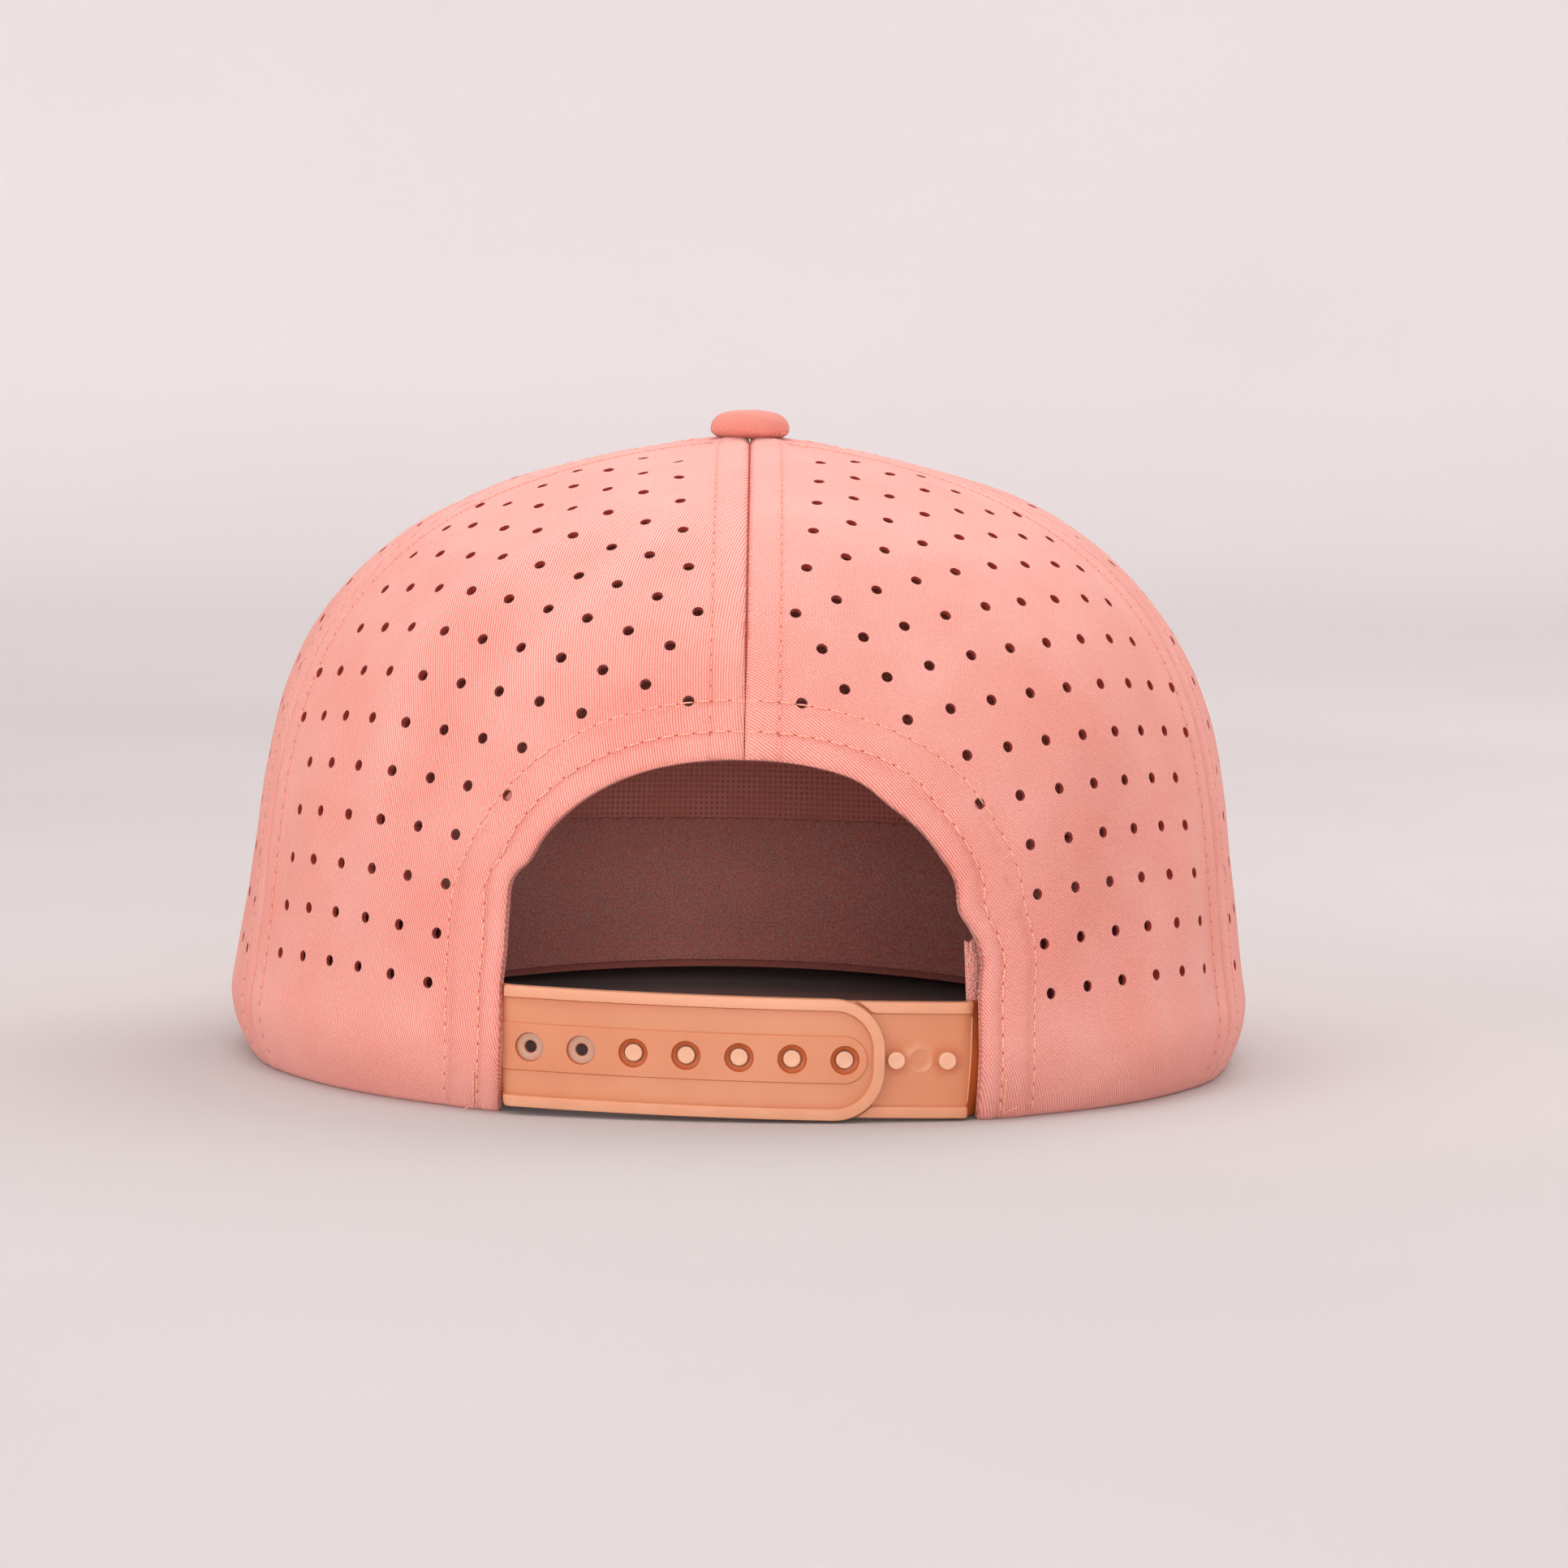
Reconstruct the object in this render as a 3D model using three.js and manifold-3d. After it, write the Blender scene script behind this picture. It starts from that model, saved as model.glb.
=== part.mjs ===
// A five-panel snapback cap: perforated crown, curved visor, and a plastic strap with pegs and holes.
// Millimetres, +Z up. The wearer faces -Y, so +X is the wearer's left and the strap is at +Y.
// The hem of the crown and the sides of the visor stand on z = 0.

import * as THREE from 'three';
import * as BufferGeometryUtils from 'three/addons/utils/BufferGeometryUtils.js';
import Module from 'manifold-3d';

const wasm = await Module();
wasm.setup();

const DEGREE = Math.PI / 180;

// ---- Driving dimensions ----

// Crown: the meridian as half-width and height, from the hem to the button.
const PROFILE = new THREE.CubicBezierCurve(
  new THREE.Vector2(96.8, 0),
  new THREE.Vector2(79.7, 38),
  new THREE.Vector2(110.3, 103.8),
  new THREE.Vector2(0, 112.7),
);
const LENGTH_RATIO = 1.05;       // the head is longer than it is wide
const HEM_TUCK = 7.8;            // how far the hem turns in
const TUCK_HEIGHT = 14;
const HEM_RADIUS = 89;           // half-width at the hem
const TOP_HOLE_RADIUS = 3.6;     // where the panels end, under the button

// Layers of cloth, as depths under the outer face of the crown.
const PANEL = [0, 1];
const LINING = [1.3, 1.9];       // seam tapes, buckram and the facing of the rear opening
const SWEATBAND = [2.3, 3.8];
const SWEATBAND_STANDOFF = 2.7;  // extra depth over the ends of the strap
const STANDOFF_FADE = [36 * DEGREE, 62 * DEGREE];
const GAP = 0.3;

// Seams, as azimuths from the middle of the back, at the hem and at the button.
const BACK_SEAM = [69 * DEGREE, 74 * DEGREE];
const FRONT_SEAM = [126 * DEGREE, 120 * DEGREE];
const TAPE_WIDTH = 12;
const TAPE_TOP_RADIUS = 15;
const BUCKRAM_TOP_RADIUS = 23;

// Rear opening: a superellipse arch on straight sides.
const ARCH_HALF_WIDTH = 40.6;
const ARCH_SPRING = 24;
const ARCH_TOP = 60.8;
const ARCH_POWER = 2.25;
const FACING_WIDTH = 9;
const FACING_SPREAD = 84 * DEGREE;  // more than the facing covers, before it is cut
const PRISM_BACK = 125;          // reach of the cutting prism along Y
const PRISM_FRONT = 45;

// Sweatband, from just above the hem, open at the back.
const SWEATBAND_BOTTOM = 1.5;
const SWEATBAND_TOP = 35;
const SWEATBAND_END = 26.8 * DEGREE;

// Visor.
const VISOR_HALF_WIDTH = 88;
const VISOR_END_Y = -38;
const VISOR_LENGTH = 122;        // from the ends to the tip, along Y
const VISOR_SPREAD = 65 * DEGREE;
const VISOR_RISE = 6;            // of its middle over its sides
const VISOR_PITCH = 0.03;        // fall towards the tip
const VISOR_SIDE_POWER = 0.9;    // of the outline, full at the sides and round at the tip
const VISOR_TIP_POWER = 0.8;
const BOARD_SIDE_SHARE = 0.97;   // the board stops short of the covers' edges
const BOARD_REACH = [0.015, 0.97];
const UNDER_COVER = [0, 0.8];
const BOARD = [1.1, 3.1];
const UPPER_COVER = [3.4, 4.2];

// Snap closure. Places along the strap are arc lengths from the middle, positive to the wearer's left.
const STRAP_RADIUS = 145;
const STRAP_BOTTOM = 1;
const STRAP_HEIGHT = 20.5;
const STRAP_THICKNESS = 1.1;
const STRAP_SPACE = 0.15;        // each strap's distance from the surface between them
const STRAP_CORNER = 8;
const HINGE_PLACE = 38.6;
const HINGE_DEPTH = 3.4;         // the surface between the straps, under the crown's face at the hinges
const SNAP_PITCH = 8.8;
const SNAP_COUNT = 7;
const FIRST_HOLE = 4 * SNAP_PITCH;
const FIRST_PEG = 2 * SNAP_PITCH;
const HOLE_TIP = -24.3;
const PEG_TIP = 22.5;
const HOLE_RADIUS = 1.9;
const COUNTERBORE_RADIUS = 2.5;
const COUNTERBORE_DEPTH = 0.4;
const PEG_RADIUS = 1.4;
const PEG_HEIGHT = 1.35;
const RAIL_WIDTH = 2;
const RAIL_HEIGHT = 0.7;
const RAIL_INSET = 0.8;          // from the hinge
const BAND_HALF_HEIGHT = 4;
const BAND_INSET = 1;
const BAND_HEIGHT = 0.4;
const PEG_RAIL_CLEARANCE = 1.5;  // from the other strap's tip
const PEG_STRAP_TRIM = 0.4;      // the under strap is lower by this above and below
const EMBED = 0.3;               // how deep rails, bands and pegs go into their strap
const FLANGE_THICKNESS = 1;
const FLANGE_TRIM = 0.5;
const FLANGE_END = 34.5 * DEGREE;

// Button.
const BUTTON_RADIUS = 7.15;
const BUTTON_BASE = 113;
const BUTTON_HEIGHT = 4.6;
const COVER_THICKNESS = 0.7;
const SHANK_RADIUS = 2;
const SHANK_FLANGE = 1.4;        // how far the riveted foot spreads, and its thickness
const SHANK_FOOT = 0.7;
const WASHER_RADIUS = 8;
const WASHER_TOP = 110.6;
const WASHER_THICKNESS = 0.8;
const WASHER_CUP = 0.4;          // how far its rim stands below its middle

// ---- Materials ----

const cloth = { roughness: 0.9, metalness: 0 };
const FABRIC = { color: 0xf0a294, ...cloth };
const TAPE = { color: 0xb5443c, ...cloth };
const BUCKRAM = { color: 0xf2ede6, ...cloth };
const TERRY = { color: 0xf0bcae, ...cloth };
const BUTTON_CLOTH = { color: 0xea7e6d, ...cloth };
const PLASTIC = { color: 0xe5996f, roughness: 0.35, metalness: 0 };
const BOARD_PLASTIC = { color: 0xe9e6e0, roughness: 0.6, metalness: 0 };
const STEEL = { color: 0xb9bcc0, roughness: 0.35, metalness: 1 };

// ---- Solids ----

// A closed solid from a geometry, whatever way its faces are turned.
function toSolid(geometry) {
  const plain = geometry.clone();
  plain.deleteAttribute('normal');
  plain.deleteAttribute('uv');
  const merged = BufferGeometryUtils.mergeVertices(plain, 1e-4);
  const corners = Array.from(merged.index.array);
  const triVerts = [];
  for (let i = 0; i < corners.length; i += 3) {
    const [a, b, c] = corners.slice(i, i + 3);
    if (a !== b && b !== c && c !== a) triVerts.push(a, b, c);
  }
  const vertProperties = new Float32Array(merged.attributes.position.array);
  if (volume(vertProperties, triVerts) < 0) triVerts.reverse();
  const mesh = new wasm.Mesh({ numProp: 3, vertProperties, triVerts: new Uint32Array(triVerts) });
  return new wasm.Manifold(mesh);
}

function volume(points, triangles) {
  const corner = (index) => new THREE.Vector3().fromArray(points, 3 * index);
  let sum = 0;
  for (let i = 0; i < triangles.length; i += 3) {
    const [a, b, c] = [corner(triangles[i]), corner(triangles[i + 1]), corner(triangles[i + 2])];
    sum += a.dot(b.cross(c)) / 6;
  }
  return sum;
}

function toMesh(name, look, solid) {
  const { vertProperties, triVerts } = solid.getMesh();
  const geometry = new THREE.BufferGeometry();
  geometry.setAttribute('position', new THREE.BufferAttribute(vertProperties, 3));
  geometry.setIndex(new THREE.BufferAttribute(triVerts, 1));
  geometry.computeVertexNormals();
  const mesh = new THREE.Mesh(geometry, new THREE.MeshStandardMaterial(look));
  mesh.name = name;
  return mesh;
}

// A solid between two faces of a patch: place(u, v, level) puts each corner, with u and v from 0 to 1.
function patch(columns, rows, [first, last], place) {
  const points = [];
  for (const level of [first, last]) {
    for (let j = 0; j <= rows; j++) {
      for (let i = 0; i <= columns; i++) points.push(...place(i / columns, j / rows, level).toArray());
    }
  }
  const size = (columns + 1) * (rows + 1);
  const at = (i, j, face) => face * size + j * (columns + 1) + i;
  const triangles = [];
  const quad = (a, b, c, d) => triangles.push(a, b, c, a, c, d);
  for (let j = 0; j < rows; j++) {
    for (let i = 0; i < columns; i++) {
      quad(at(i, j, 0), at(i + 1, j, 0), at(i + 1, j + 1, 0), at(i, j + 1, 0));
      quad(at(i, j, 1), at(i, j + 1, 1), at(i + 1, j + 1, 1), at(i + 1, j, 1));
    }
  }
  for (let i = 0; i < columns; i++) {
    quad(at(i, 0, 0), at(i, 0, 1), at(i + 1, 0, 1), at(i + 1, 0, 0));
    quad(at(i, rows, 0), at(i + 1, rows, 0), at(i + 1, rows, 1), at(i, rows, 1));
  }
  for (let j = 0; j < rows; j++) {
    quad(at(0, j, 0), at(0, j + 1, 0), at(0, j + 1, 1), at(0, j, 1));
    quad(at(columns, j, 0), at(columns, j, 1), at(columns, j + 1, 1), at(columns, j + 1, 0));
  }
  const geometry = new THREE.BufferGeometry();
  geometry.setAttribute('position', new THREE.Float32BufferAttribute(points, 3));
  geometry.setIndex(triangles);
  return toSolid(geometry);
}

// ---- Crown surface ----

// Half-width and height at a place from 0, the hem line, to 1, the top.
function profileAt(t) {
  const point = PROFILE.getPoint(t);
  const tuck = Math.max(0, 1 - point.y / TUCK_HEIGHT);
  point.x -= HEM_TUCK * tuck * tuck;
  return point;
}

// Angle above the horizontal in which layers are stacked: square to the crown, level at the hem.
function layerTilt(t) {
  const step = 0.001;
  const below = profileAt(Math.max(0, t - step));
  const above = profileAt(Math.min(1, t + step));
  const square = Math.atan2(below.x - above.x, above.y - below.y);
  return square * THREE.MathUtils.smoothstep(profileAt(t).y, 0, 20);
}

function crownPoint(azimuth, t, depth) {
  const point = profileAt(t);
  const tilt = layerTilt(t);
  const radius = point.x - depth * Math.cos(tilt);
  return new THREE.Vector3(
    radius * Math.sin(azimuth),
    LENGTH_RATIO * radius * Math.cos(azimuth),
    point.y - depth * Math.sin(tilt),
  );
}

// The place on the profile where a rising or falling measure reaches a value.
function solve(measure, value) {
  const rising = measure(1) > measure(0);
  let [low, high] = [0, 1];
  for (let i = 0; i < 40; i++) {
    const middle = (low + high) / 2;
    if (measure(middle) < value === rising) low = middle;
    else high = middle;
  }
  return low;
}

const atHeight = (height) => solve((t) => profileAt(t).y, height);
const atRadius = (radius) => solve((t) => profileAt(0.2 + 0.8 * t).x, radius) * 0.8 + 0.2;
const seamAt = ([hem, top], t) => THREE.MathUtils.lerp(hem, top, t);

// Rows lie closer together at the hem, where the profile turns most.
const HEM_CROWDING = 0.35;
const rowAt = (low, high, v) => (
  THREE.MathUtils.lerp(low, high, v * (1 - HEM_CROWDING * (1 - v))));

// Height of the visor's underside over the floor.
function undersideAt(x, y) {
  const arch = VISOR_RISE * (1 - (x / VISOR_HALF_WIDTH) ** 2);
  return Math.max(0, arch + VISOR_PITCH * Math.min(0, y - VISOR_END_Y));
}

// The hem lies on the floor behind, and follows the visor in front.
function hemHeight(azimuth) {
  if (Math.cos(azimuth) > 0) return 0;
  return undersideAt(HEM_RADIUS * Math.sin(azimuth), LENGTH_RATIO * HEM_RADIUS * Math.cos(azimuth));
}

// ---- Crown pieces ----

// A panel between two seams. Each seam is an azimuth at the hem and at the top.
function panel(from, to, columns) {
  const top = atRadius(TOP_HOLE_RADIUS);
  return patch(columns, 20, PANEL, (u, v, depth) => {
    const low = atHeight(hemHeight(THREE.MathUtils.lerp(from[0], to[0], u)));
    const t = rowAt(low, top, v);
    const gap = GAP / 2 / profileAt(t).x;
    const azimuth = THREE.MathUtils.lerp(seamAt(from, t) + gap, seamAt(to, t) - gap, u);
    return crownPoint(azimuth, t, depth);
  });
}

// A strip of tape behind a seam, from a height to where the tapes meet.
function seamTape(seam, bottom) {
  const low = atHeight(bottom);
  const high = atRadius(TAPE_TOP_RADIUS);
  return patch(2, 20, LINING, (u, v, depth) => {
    const t = rowAt(low, high, v);
    const across = (u - 0.5) * TAPE_WIDTH / profileAt(t).x;
    return crownPoint(seamAt(seam, t) + across, t, depth);
  });
}

function frontBuckram() {
  const high = atRadius(BUCKRAM_TOP_RADIUS);
  const edge = TAPE_WIDTH / 2 + 2 * GAP;
  return patch(14, 20, LINING, (u, v, depth) => {
    const side = 2 * u - 1;
    const low = atHeight(hemHeight(Math.PI + side * (Math.PI - FRONT_SEAM[0])) + SWEATBAND_BOTTOM);
    const t = rowAt(low, high, v);
    const half = Math.PI - seamAt(FRONT_SEAM, t) - edge / profileAt(t).x;
    return crownPoint(Math.PI + side * half, t, depth);
  });
}

const ARCH_SEGMENTS = 24;

function archPrism(margin) {
  const width = ARCH_HALF_WIDTH + margin;
  const height = ARCH_TOP - ARCH_SPRING + margin;
  const outline = [new THREE.Vector2(-width, -1), new THREE.Vector2(width, -1)];
  for (let i = 0; i <= ARCH_SEGMENTS; i++) {
    const angle = i * Math.PI / ARCH_SEGMENTS;
    const across = Math.sign(Math.cos(angle)) * Math.abs(Math.cos(angle)) ** (2 / ARCH_POWER);
    const up = Math.sin(angle) ** (2 / ARCH_POWER);
    outline.push(new THREE.Vector2(width * across, ARCH_SPRING + height * up));
  }
  const settings = { depth: PRISM_BACK - PRISM_FRONT, bevelEnabled: false };
  const prism = new THREE.ExtrudeGeometry(new THREE.Shape(outline), settings);
  prism.rotateX(Math.PI / 2);
  prism.translate(0, PRISM_BACK, 0);
  return toSolid(prism);
}

// The turned-in strip that lines the edge of the rear opening.
function archFacing() {
  const high = atHeight(ARCH_TOP + FACING_WIDTH + 5);
  const band = patch(12, 14, LINING, (u, v, depth) => {
    return crownPoint((u - 0.5) * FACING_SPREAD, rowAt(0, high, v), depth);
  });
  return band.intersect(archPrism(FACING_WIDTH)).subtract(archPrism(0));
}

// It lies against the linings, and stands further in over the ends of the strap.
function sweatband() {
  return patch(44, 7, SWEATBAND, (u, v, depth) => {
    const azimuth = THREE.MathUtils.lerp(SWEATBAND_END, 2 * Math.PI - SWEATBAND_END, u);
    const low = atHeight(hemHeight(azimuth) + SWEATBAND_BOTTOM);
    const t = rowAt(low, atHeight(SWEATBAND_TOP), v);
    const fromBack = Math.min(azimuth, 2 * Math.PI - azimuth);
    const over = 1 - THREE.MathUtils.smoothstep(fromBack, ...STANDOFF_FADE);
    return crownPoint(azimuth, t, depth + SWEATBAND_STANDOFF * over);
  });
}

// ---- Visor ----

// side runs from -1 to 1 across the visor, forward from 0 at the crown to 1 at the edge.
function visorPoint(side, forward, layer) {
  const azimuth = side * VISOR_SPREAD;
  const nominal = new THREE.Vector2(Math.sin(azimuth), -LENGTH_RATIO * Math.cos(azimuth));
  const height = hemHeight(Math.PI + azimuth) + layer;
  const inner = nominal.clone().multiplyScalar(profileAt(atHeight(height)).x + 1.3 * GAP);
  const turn = side * Math.PI / 2;
  const outer = new THREE.Vector2(
    VISOR_HALF_WIDTH * Math.sign(side) * Math.abs(Math.sin(turn)) ** VISOR_SIDE_POWER,
    VISOR_END_Y - VISOR_LENGTH * Math.abs(Math.cos(turn)) ** VISOR_TIP_POWER,
  );
  const floor = nominal.multiplyScalar(HEM_RADIUS).lerp(outer, forward);
  const place = inner.lerp(outer, forward);
  return new THREE.Vector3(place.x, place.y, undersideAt(floor.x, floor.y) + layer);
}

const visorCover = (layer) => patch(20, 5, layer, (u, v, level) => visorPoint(2 * u - 1, v, level));
const visorBoard = () => patch(20, 5, BOARD, (u, v, level) => (
  visorPoint(BOARD_SIDE_SHARE * (2 * u - 1), THREE.MathUtils.lerp(...BOARD_REACH, v), level)));

// ---- Snap closure ----

// The straps' surface meets the crown's at the hinges, and is flatter between them.
const STRAP_MIDDLE = STRAP_BOTTOM + STRAP_HEIGHT / 2;
const HINGE_X = STRAP_RADIUS * Math.sin(HINGE_PLACE / STRAP_RADIUS);
const HINGE_RADIUS = profileAt(atHeight(STRAP_MIDDLE)).x - HINGE_DEPTH;
const HINGE_Y = LENGTH_RATIO * HINGE_RADIUS * Math.cos(Math.asin(HINGE_X / HINGE_RADIUS));
const STRAP_CENTRE_Y = HINGE_Y - STRAP_RADIUS * Math.cos(HINGE_PLACE / STRAP_RADIUS);

function strapPoint(place, height, level) {
  const angle = place / STRAP_RADIUS;
  const radius = STRAP_RADIUS + level;
  return new THREE.Vector3(
    radius * Math.sin(angle),
    STRAP_CENTRE_Y + radius * Math.cos(angle),
    height,
  );
}

// A bent plate with a straight end at start and round corners at tip. Its columns crowd towards
// the tip, which keeps a narrow flat.
const TIP_CROWDING = 1.25;
const TIP_FLAT = 0.02;

function plate(start, tip, inset, corner, levels) {
  const half = STRAP_HEIGHT / 2 - inset;
  const round = Math.max(corner, 0.1);
  const length = Math.abs(tip - start);
  return patch(16, 1, levels, (u, v, level) => {
    const bent = 1 - (1 - u) ** TIP_CROWDING;
    const left = length * (1 - bent);
    const cut = left < round ? round - Math.sqrt(round ** 2 - (round - left) ** 2) : 0;
    const height = STRAP_MIDDLE + (half - cut * (1 - TIP_FLAT)) * (2 * v - 1);
    return strapPoint(THREE.MathUtils.lerp(start, tip, bent), height, level);
  });
}

// A round pin square to the strap, between two levels.
function pin(place, radius, [low, high]) {
  const pinGeometry = new THREE.CylinderGeometry(radius, radius, high - low, 12);
  pinGeometry.rotateZ(-place / STRAP_RADIUS);
  const middle = strapPoint(place, STRAP_MIDDLE, (low + high) / 2);
  pinGeometry.translate(middle.x, middle.y, middle.z);
  return toSolid(pinGeometry);
}

// The round edge on which a strap bends, where it leaves the flange.
function bendRoll(place, level) {
  const radius = STRAP_THICKNESS / 2;
  const rollGeometry = new THREE.CylinderGeometry(radius, radius, STRAP_HEIGHT - 2 * PEG_STRAP_TRIM, 12);
  rollGeometry.rotateX(Math.PI / 2);
  const middle = strapPoint(place, STRAP_MIDDLE, level);
  rollGeometry.translate(middle.x, middle.y, middle.z);
  return toSolid(rollGeometry);
}

function holeStrap() {
  const face = STRAP_SPACE + STRAP_THICKNESS;
  const foot = face - EMBED;
  const rails = plate(HINGE_PLACE - RAIL_INSET, HOLE_TIP, 0, STRAP_CORNER, [foot, face + RAIL_HEIGHT])
    .subtract(plate(HINGE_PLACE, HOLE_TIP + RAIL_WIDTH, RAIL_WIDTH, STRAP_CORNER - RAIL_WIDTH,
      [foot - 0.1, face + RAIL_HEIGHT + 1]));
  const bandInset = STRAP_HEIGHT / 2 - BAND_HALF_HEIGHT;
  const band = plate(HINGE_PLACE - BAND_INSET, HOLE_TIP + RAIL_WIDTH + 0.8, bandInset,
    BAND_HALF_HEIGHT, [foot, face + BAND_HEIGHT]);
  let strap = plate(HINGE_PLACE, HOLE_TIP, 0, STRAP_CORNER, [STRAP_SPACE, face]).add(rails).add(band)
    .add(bendRoll(HINGE_PLACE, STRAP_SPACE + STRAP_THICKNESS / 2));
  for (let i = 0; i < SNAP_COUNT; i++) {
    const place = FIRST_HOLE - i * SNAP_PITCH;
    strap = strap.subtract(pin(place, HOLE_RADIUS, [-1, face + 1]));
    strap = strap.subtract(pin(place, COUNTERBORE_RADIUS, [face - COUNTERBORE_DEPTH, face + 2]));
  }
  return strap;
}

function pegStrap() {
  const face = -STRAP_SPACE;
  const body = [face - STRAP_THICKNESS, face];
  let strap = plate(-HINGE_PLACE, PEG_TIP, PEG_STRAP_TRIM, STRAP_CORNER - 1, body)
    .add(bendRoll(-HINGE_PLACE, face - STRAP_THICKNESS / 2));
  const [first, last] = [HOLE_TIP - PEG_RAIL_CLEARANCE, RAIL_INSET - HINGE_PLACE];
  const low = STRAP_BOTTOM + PEG_STRAP_TRIM;
  const high = STRAP_BOTTOM + STRAP_HEIGHT - PEG_STRAP_TRIM - RAIL_WIDTH;
  for (const bottom of [low, high]) {
    strap = strap.add(patch(4, 1, [face - EMBED, face + RAIL_HEIGHT], (u, v, level) => (
      strapPoint(THREE.MathUtils.lerp(first, last, u), bottom + RAIL_WIDTH * v, level))));
  }
  for (let i = 0; i < SNAP_COUNT; i++) {
    strap = strap.add(pin(FIRST_PEG - i * SNAP_PITCH, PEG_RADIUS, [face - EMBED, face + PEG_HEIGHT]));
  }
  return strap;
}

// The sewn-in end of a strap, which lies against the inside of the back panel.
function flange(side, level) {
  const depth = HINGE_DEPTH - level;
  const start = Math.asin((HINGE_X + STRAP_THICKNESS / 2 + GAP) / HINGE_RADIUS);
  const levels = [depth - FLANGE_THICKNESS / 2, depth + FLANGE_THICKNESS / 2];
  return patch(4, 7, levels, (u, v, under) => {
    const height = STRAP_BOTTOM + FLANGE_TRIM + (STRAP_HEIGHT - 2 * FLANGE_TRIM) * v;
    return crownPoint(side * THREE.MathUtils.lerp(start, FLANGE_END, u), atHeight(height), under);
  });
}

// ---- Button ----

function lathe(profile) {
  const points = profile.map(([radius, height]) => new THREE.Vector2(radius, height));
  const geometry = new THREE.LatheGeometry(points, 18);
  geometry.rotateX(Math.PI / 2);
  return toSolid(geometry);
}

// A low dome from its rim to the axis.
function dome(radius, base, height) {
  const points = [];
  for (let i = 0; i <= 6; i++) {
    const angle = i * Math.PI / 12;
    points.push([radius * Math.cos(angle) ** 0.7, base + height * Math.sin(angle) ** 0.8]);
  }
  points[6][0] = 0;
  return points;
}

function buttonCover() {
  const outside = dome(BUTTON_RADIUS, BUTTON_BASE, BUTTON_HEIGHT);
  const inside = dome(BUTTON_RADIUS - COVER_THICKNESS, BUTTON_BASE, BUTTON_HEIGHT - COVER_THICKNESS);
  return lathe([...outside, ...inside.reverse(), outside[0]]);
}

function buttonShell() {
  const clear = COVER_THICKNESS + GAP;
  const base = BUTTON_BASE;
  const foot = WASHER_TOP - WASHER_THICKNESS - GAP;
  return lathe([
    [0, foot - SHANK_FOOT],
    [SHANK_RADIUS + SHANK_FLANGE, foot - SHANK_FOOT],
    [SHANK_RADIUS + SHANK_FLANGE, foot],
    [SHANK_RADIUS, foot],
    [SHANK_RADIUS, base],
    ...dome(BUTTON_RADIUS - clear, base, BUTTON_HEIGHT - clear),
  ]);
}

function buttonWasher() {
  const hole = SHANK_RADIUS + GAP;
  const bottom = WASHER_TOP - WASHER_THICKNESS;
  return lathe([
    [hole, bottom],
    [WASHER_RADIUS, bottom - WASHER_CUP],
    [WASHER_RADIUS, bottom - WASHER_CUP + 0.7],
    [hole, WASHER_TOP],
    [hole, bottom],
  ]);
}

// ---- Assembly ----

const MIDDLE = [0, 0];
const opposite = ([hem, top]) => [-hem, -top];
const forward = ([hem, top]) => [2 * Math.PI - hem, 2 * Math.PI - top];
const opening = archPrism(0);
const tapeBottom = SWEATBAND_BOTTOM + 1.5;
const frontTapeBottom = tapeBottom + hemHeight(FRONT_SEAM[0]) + 1;

const crown = new THREE.Group();
crown.add(
  toMesh('back_panel_left', FABRIC, panel(MIDDLE, BACK_SEAM, 12).subtract(opening)),
  toMesh('back_panel_right', FABRIC, panel(opposite(BACK_SEAM), MIDDLE, 12).subtract(opening)),
  toMesh('side_panel_left', FABRIC, panel(BACK_SEAM, FRONT_SEAM, 8)),
  toMesh('side_panel_right', FABRIC, panel(opposite(FRONT_SEAM), opposite(BACK_SEAM), 8)),
  toMesh('front_panel', FABRIC, panel(FRONT_SEAM, forward(FRONT_SEAM), 16)),
  toMesh('front_buckram', BUCKRAM, frontBuckram()),
  toMesh('seam_tape_back_centre', TAPE, seamTape(MIDDLE, ARCH_TOP + FACING_WIDTH + 2)),
  toMesh('seam_tape_back_left', TAPE, seamTape(BACK_SEAM, tapeBottom)),
  toMesh('seam_tape_back_right', TAPE, seamTape(opposite(BACK_SEAM), tapeBottom)),
  toMesh('seam_tape_front_left', TAPE, seamTape(FRONT_SEAM, frontTapeBottom)),
  toMesh('seam_tape_front_right', TAPE, seamTape(opposite(FRONT_SEAM), frontTapeBottom)),
  toMesh('arch_facing', FABRIC, archFacing()),
  toMesh('sweatband', TERRY, sweatband()),
);

const visor = new THREE.Group();
visor.add(
  toMesh('visor_under_cover', FABRIC, visorCover(UNDER_COVER)),
  toMesh('visor_board', BOARD_PLASTIC, visorBoard()),
  toMesh('visor_upper_cover', FABRIC, visorCover(UPPER_COVER)),
);

const closure = new THREE.Group();
const midLevel = STRAP_SPACE + STRAP_THICKNESS / 2;
closure.add(
  toMesh('hole_strap', PLASTIC, holeStrap()),
  toMesh('hole_strap_flange', PLASTIC, flange(1, midLevel)),
  toMesh('peg_strap', PLASTIC, pegStrap()),
  toMesh('peg_strap_flange', PLASTIC, flange(-1, -midLevel)),
);

const button = new THREE.Group();
button.add(
  toMesh('button_cover', BUTTON_CLOTH, buttonCover()),
  toMesh('button_shell', STEEL, buttonShell()),
  toMesh('button_washer', STEEL, buttonWasher()),
);

// The origin is the middle of the whole cap's box, on the floor.
const group = new THREE.Group();
group.add(crown, visor, closure, button);
const box = new THREE.Box3().setFromObject(group);
group.position.y = -(box.min.y + box.max.y) / 2;

export default group;
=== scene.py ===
"""A five-panel snapback cap in perforated coral twill, seen from behind.

Geometry is worked out in millimetres around the crown's axis, with the wearer facing -Y, and
goes into Blender in metres in the CAD frame. Azimuths run from the middle of the back (+Y)
towards the wearer's left (+X). Arc lengths s run up the crown's meridian from the hem.
"""

import math

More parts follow.
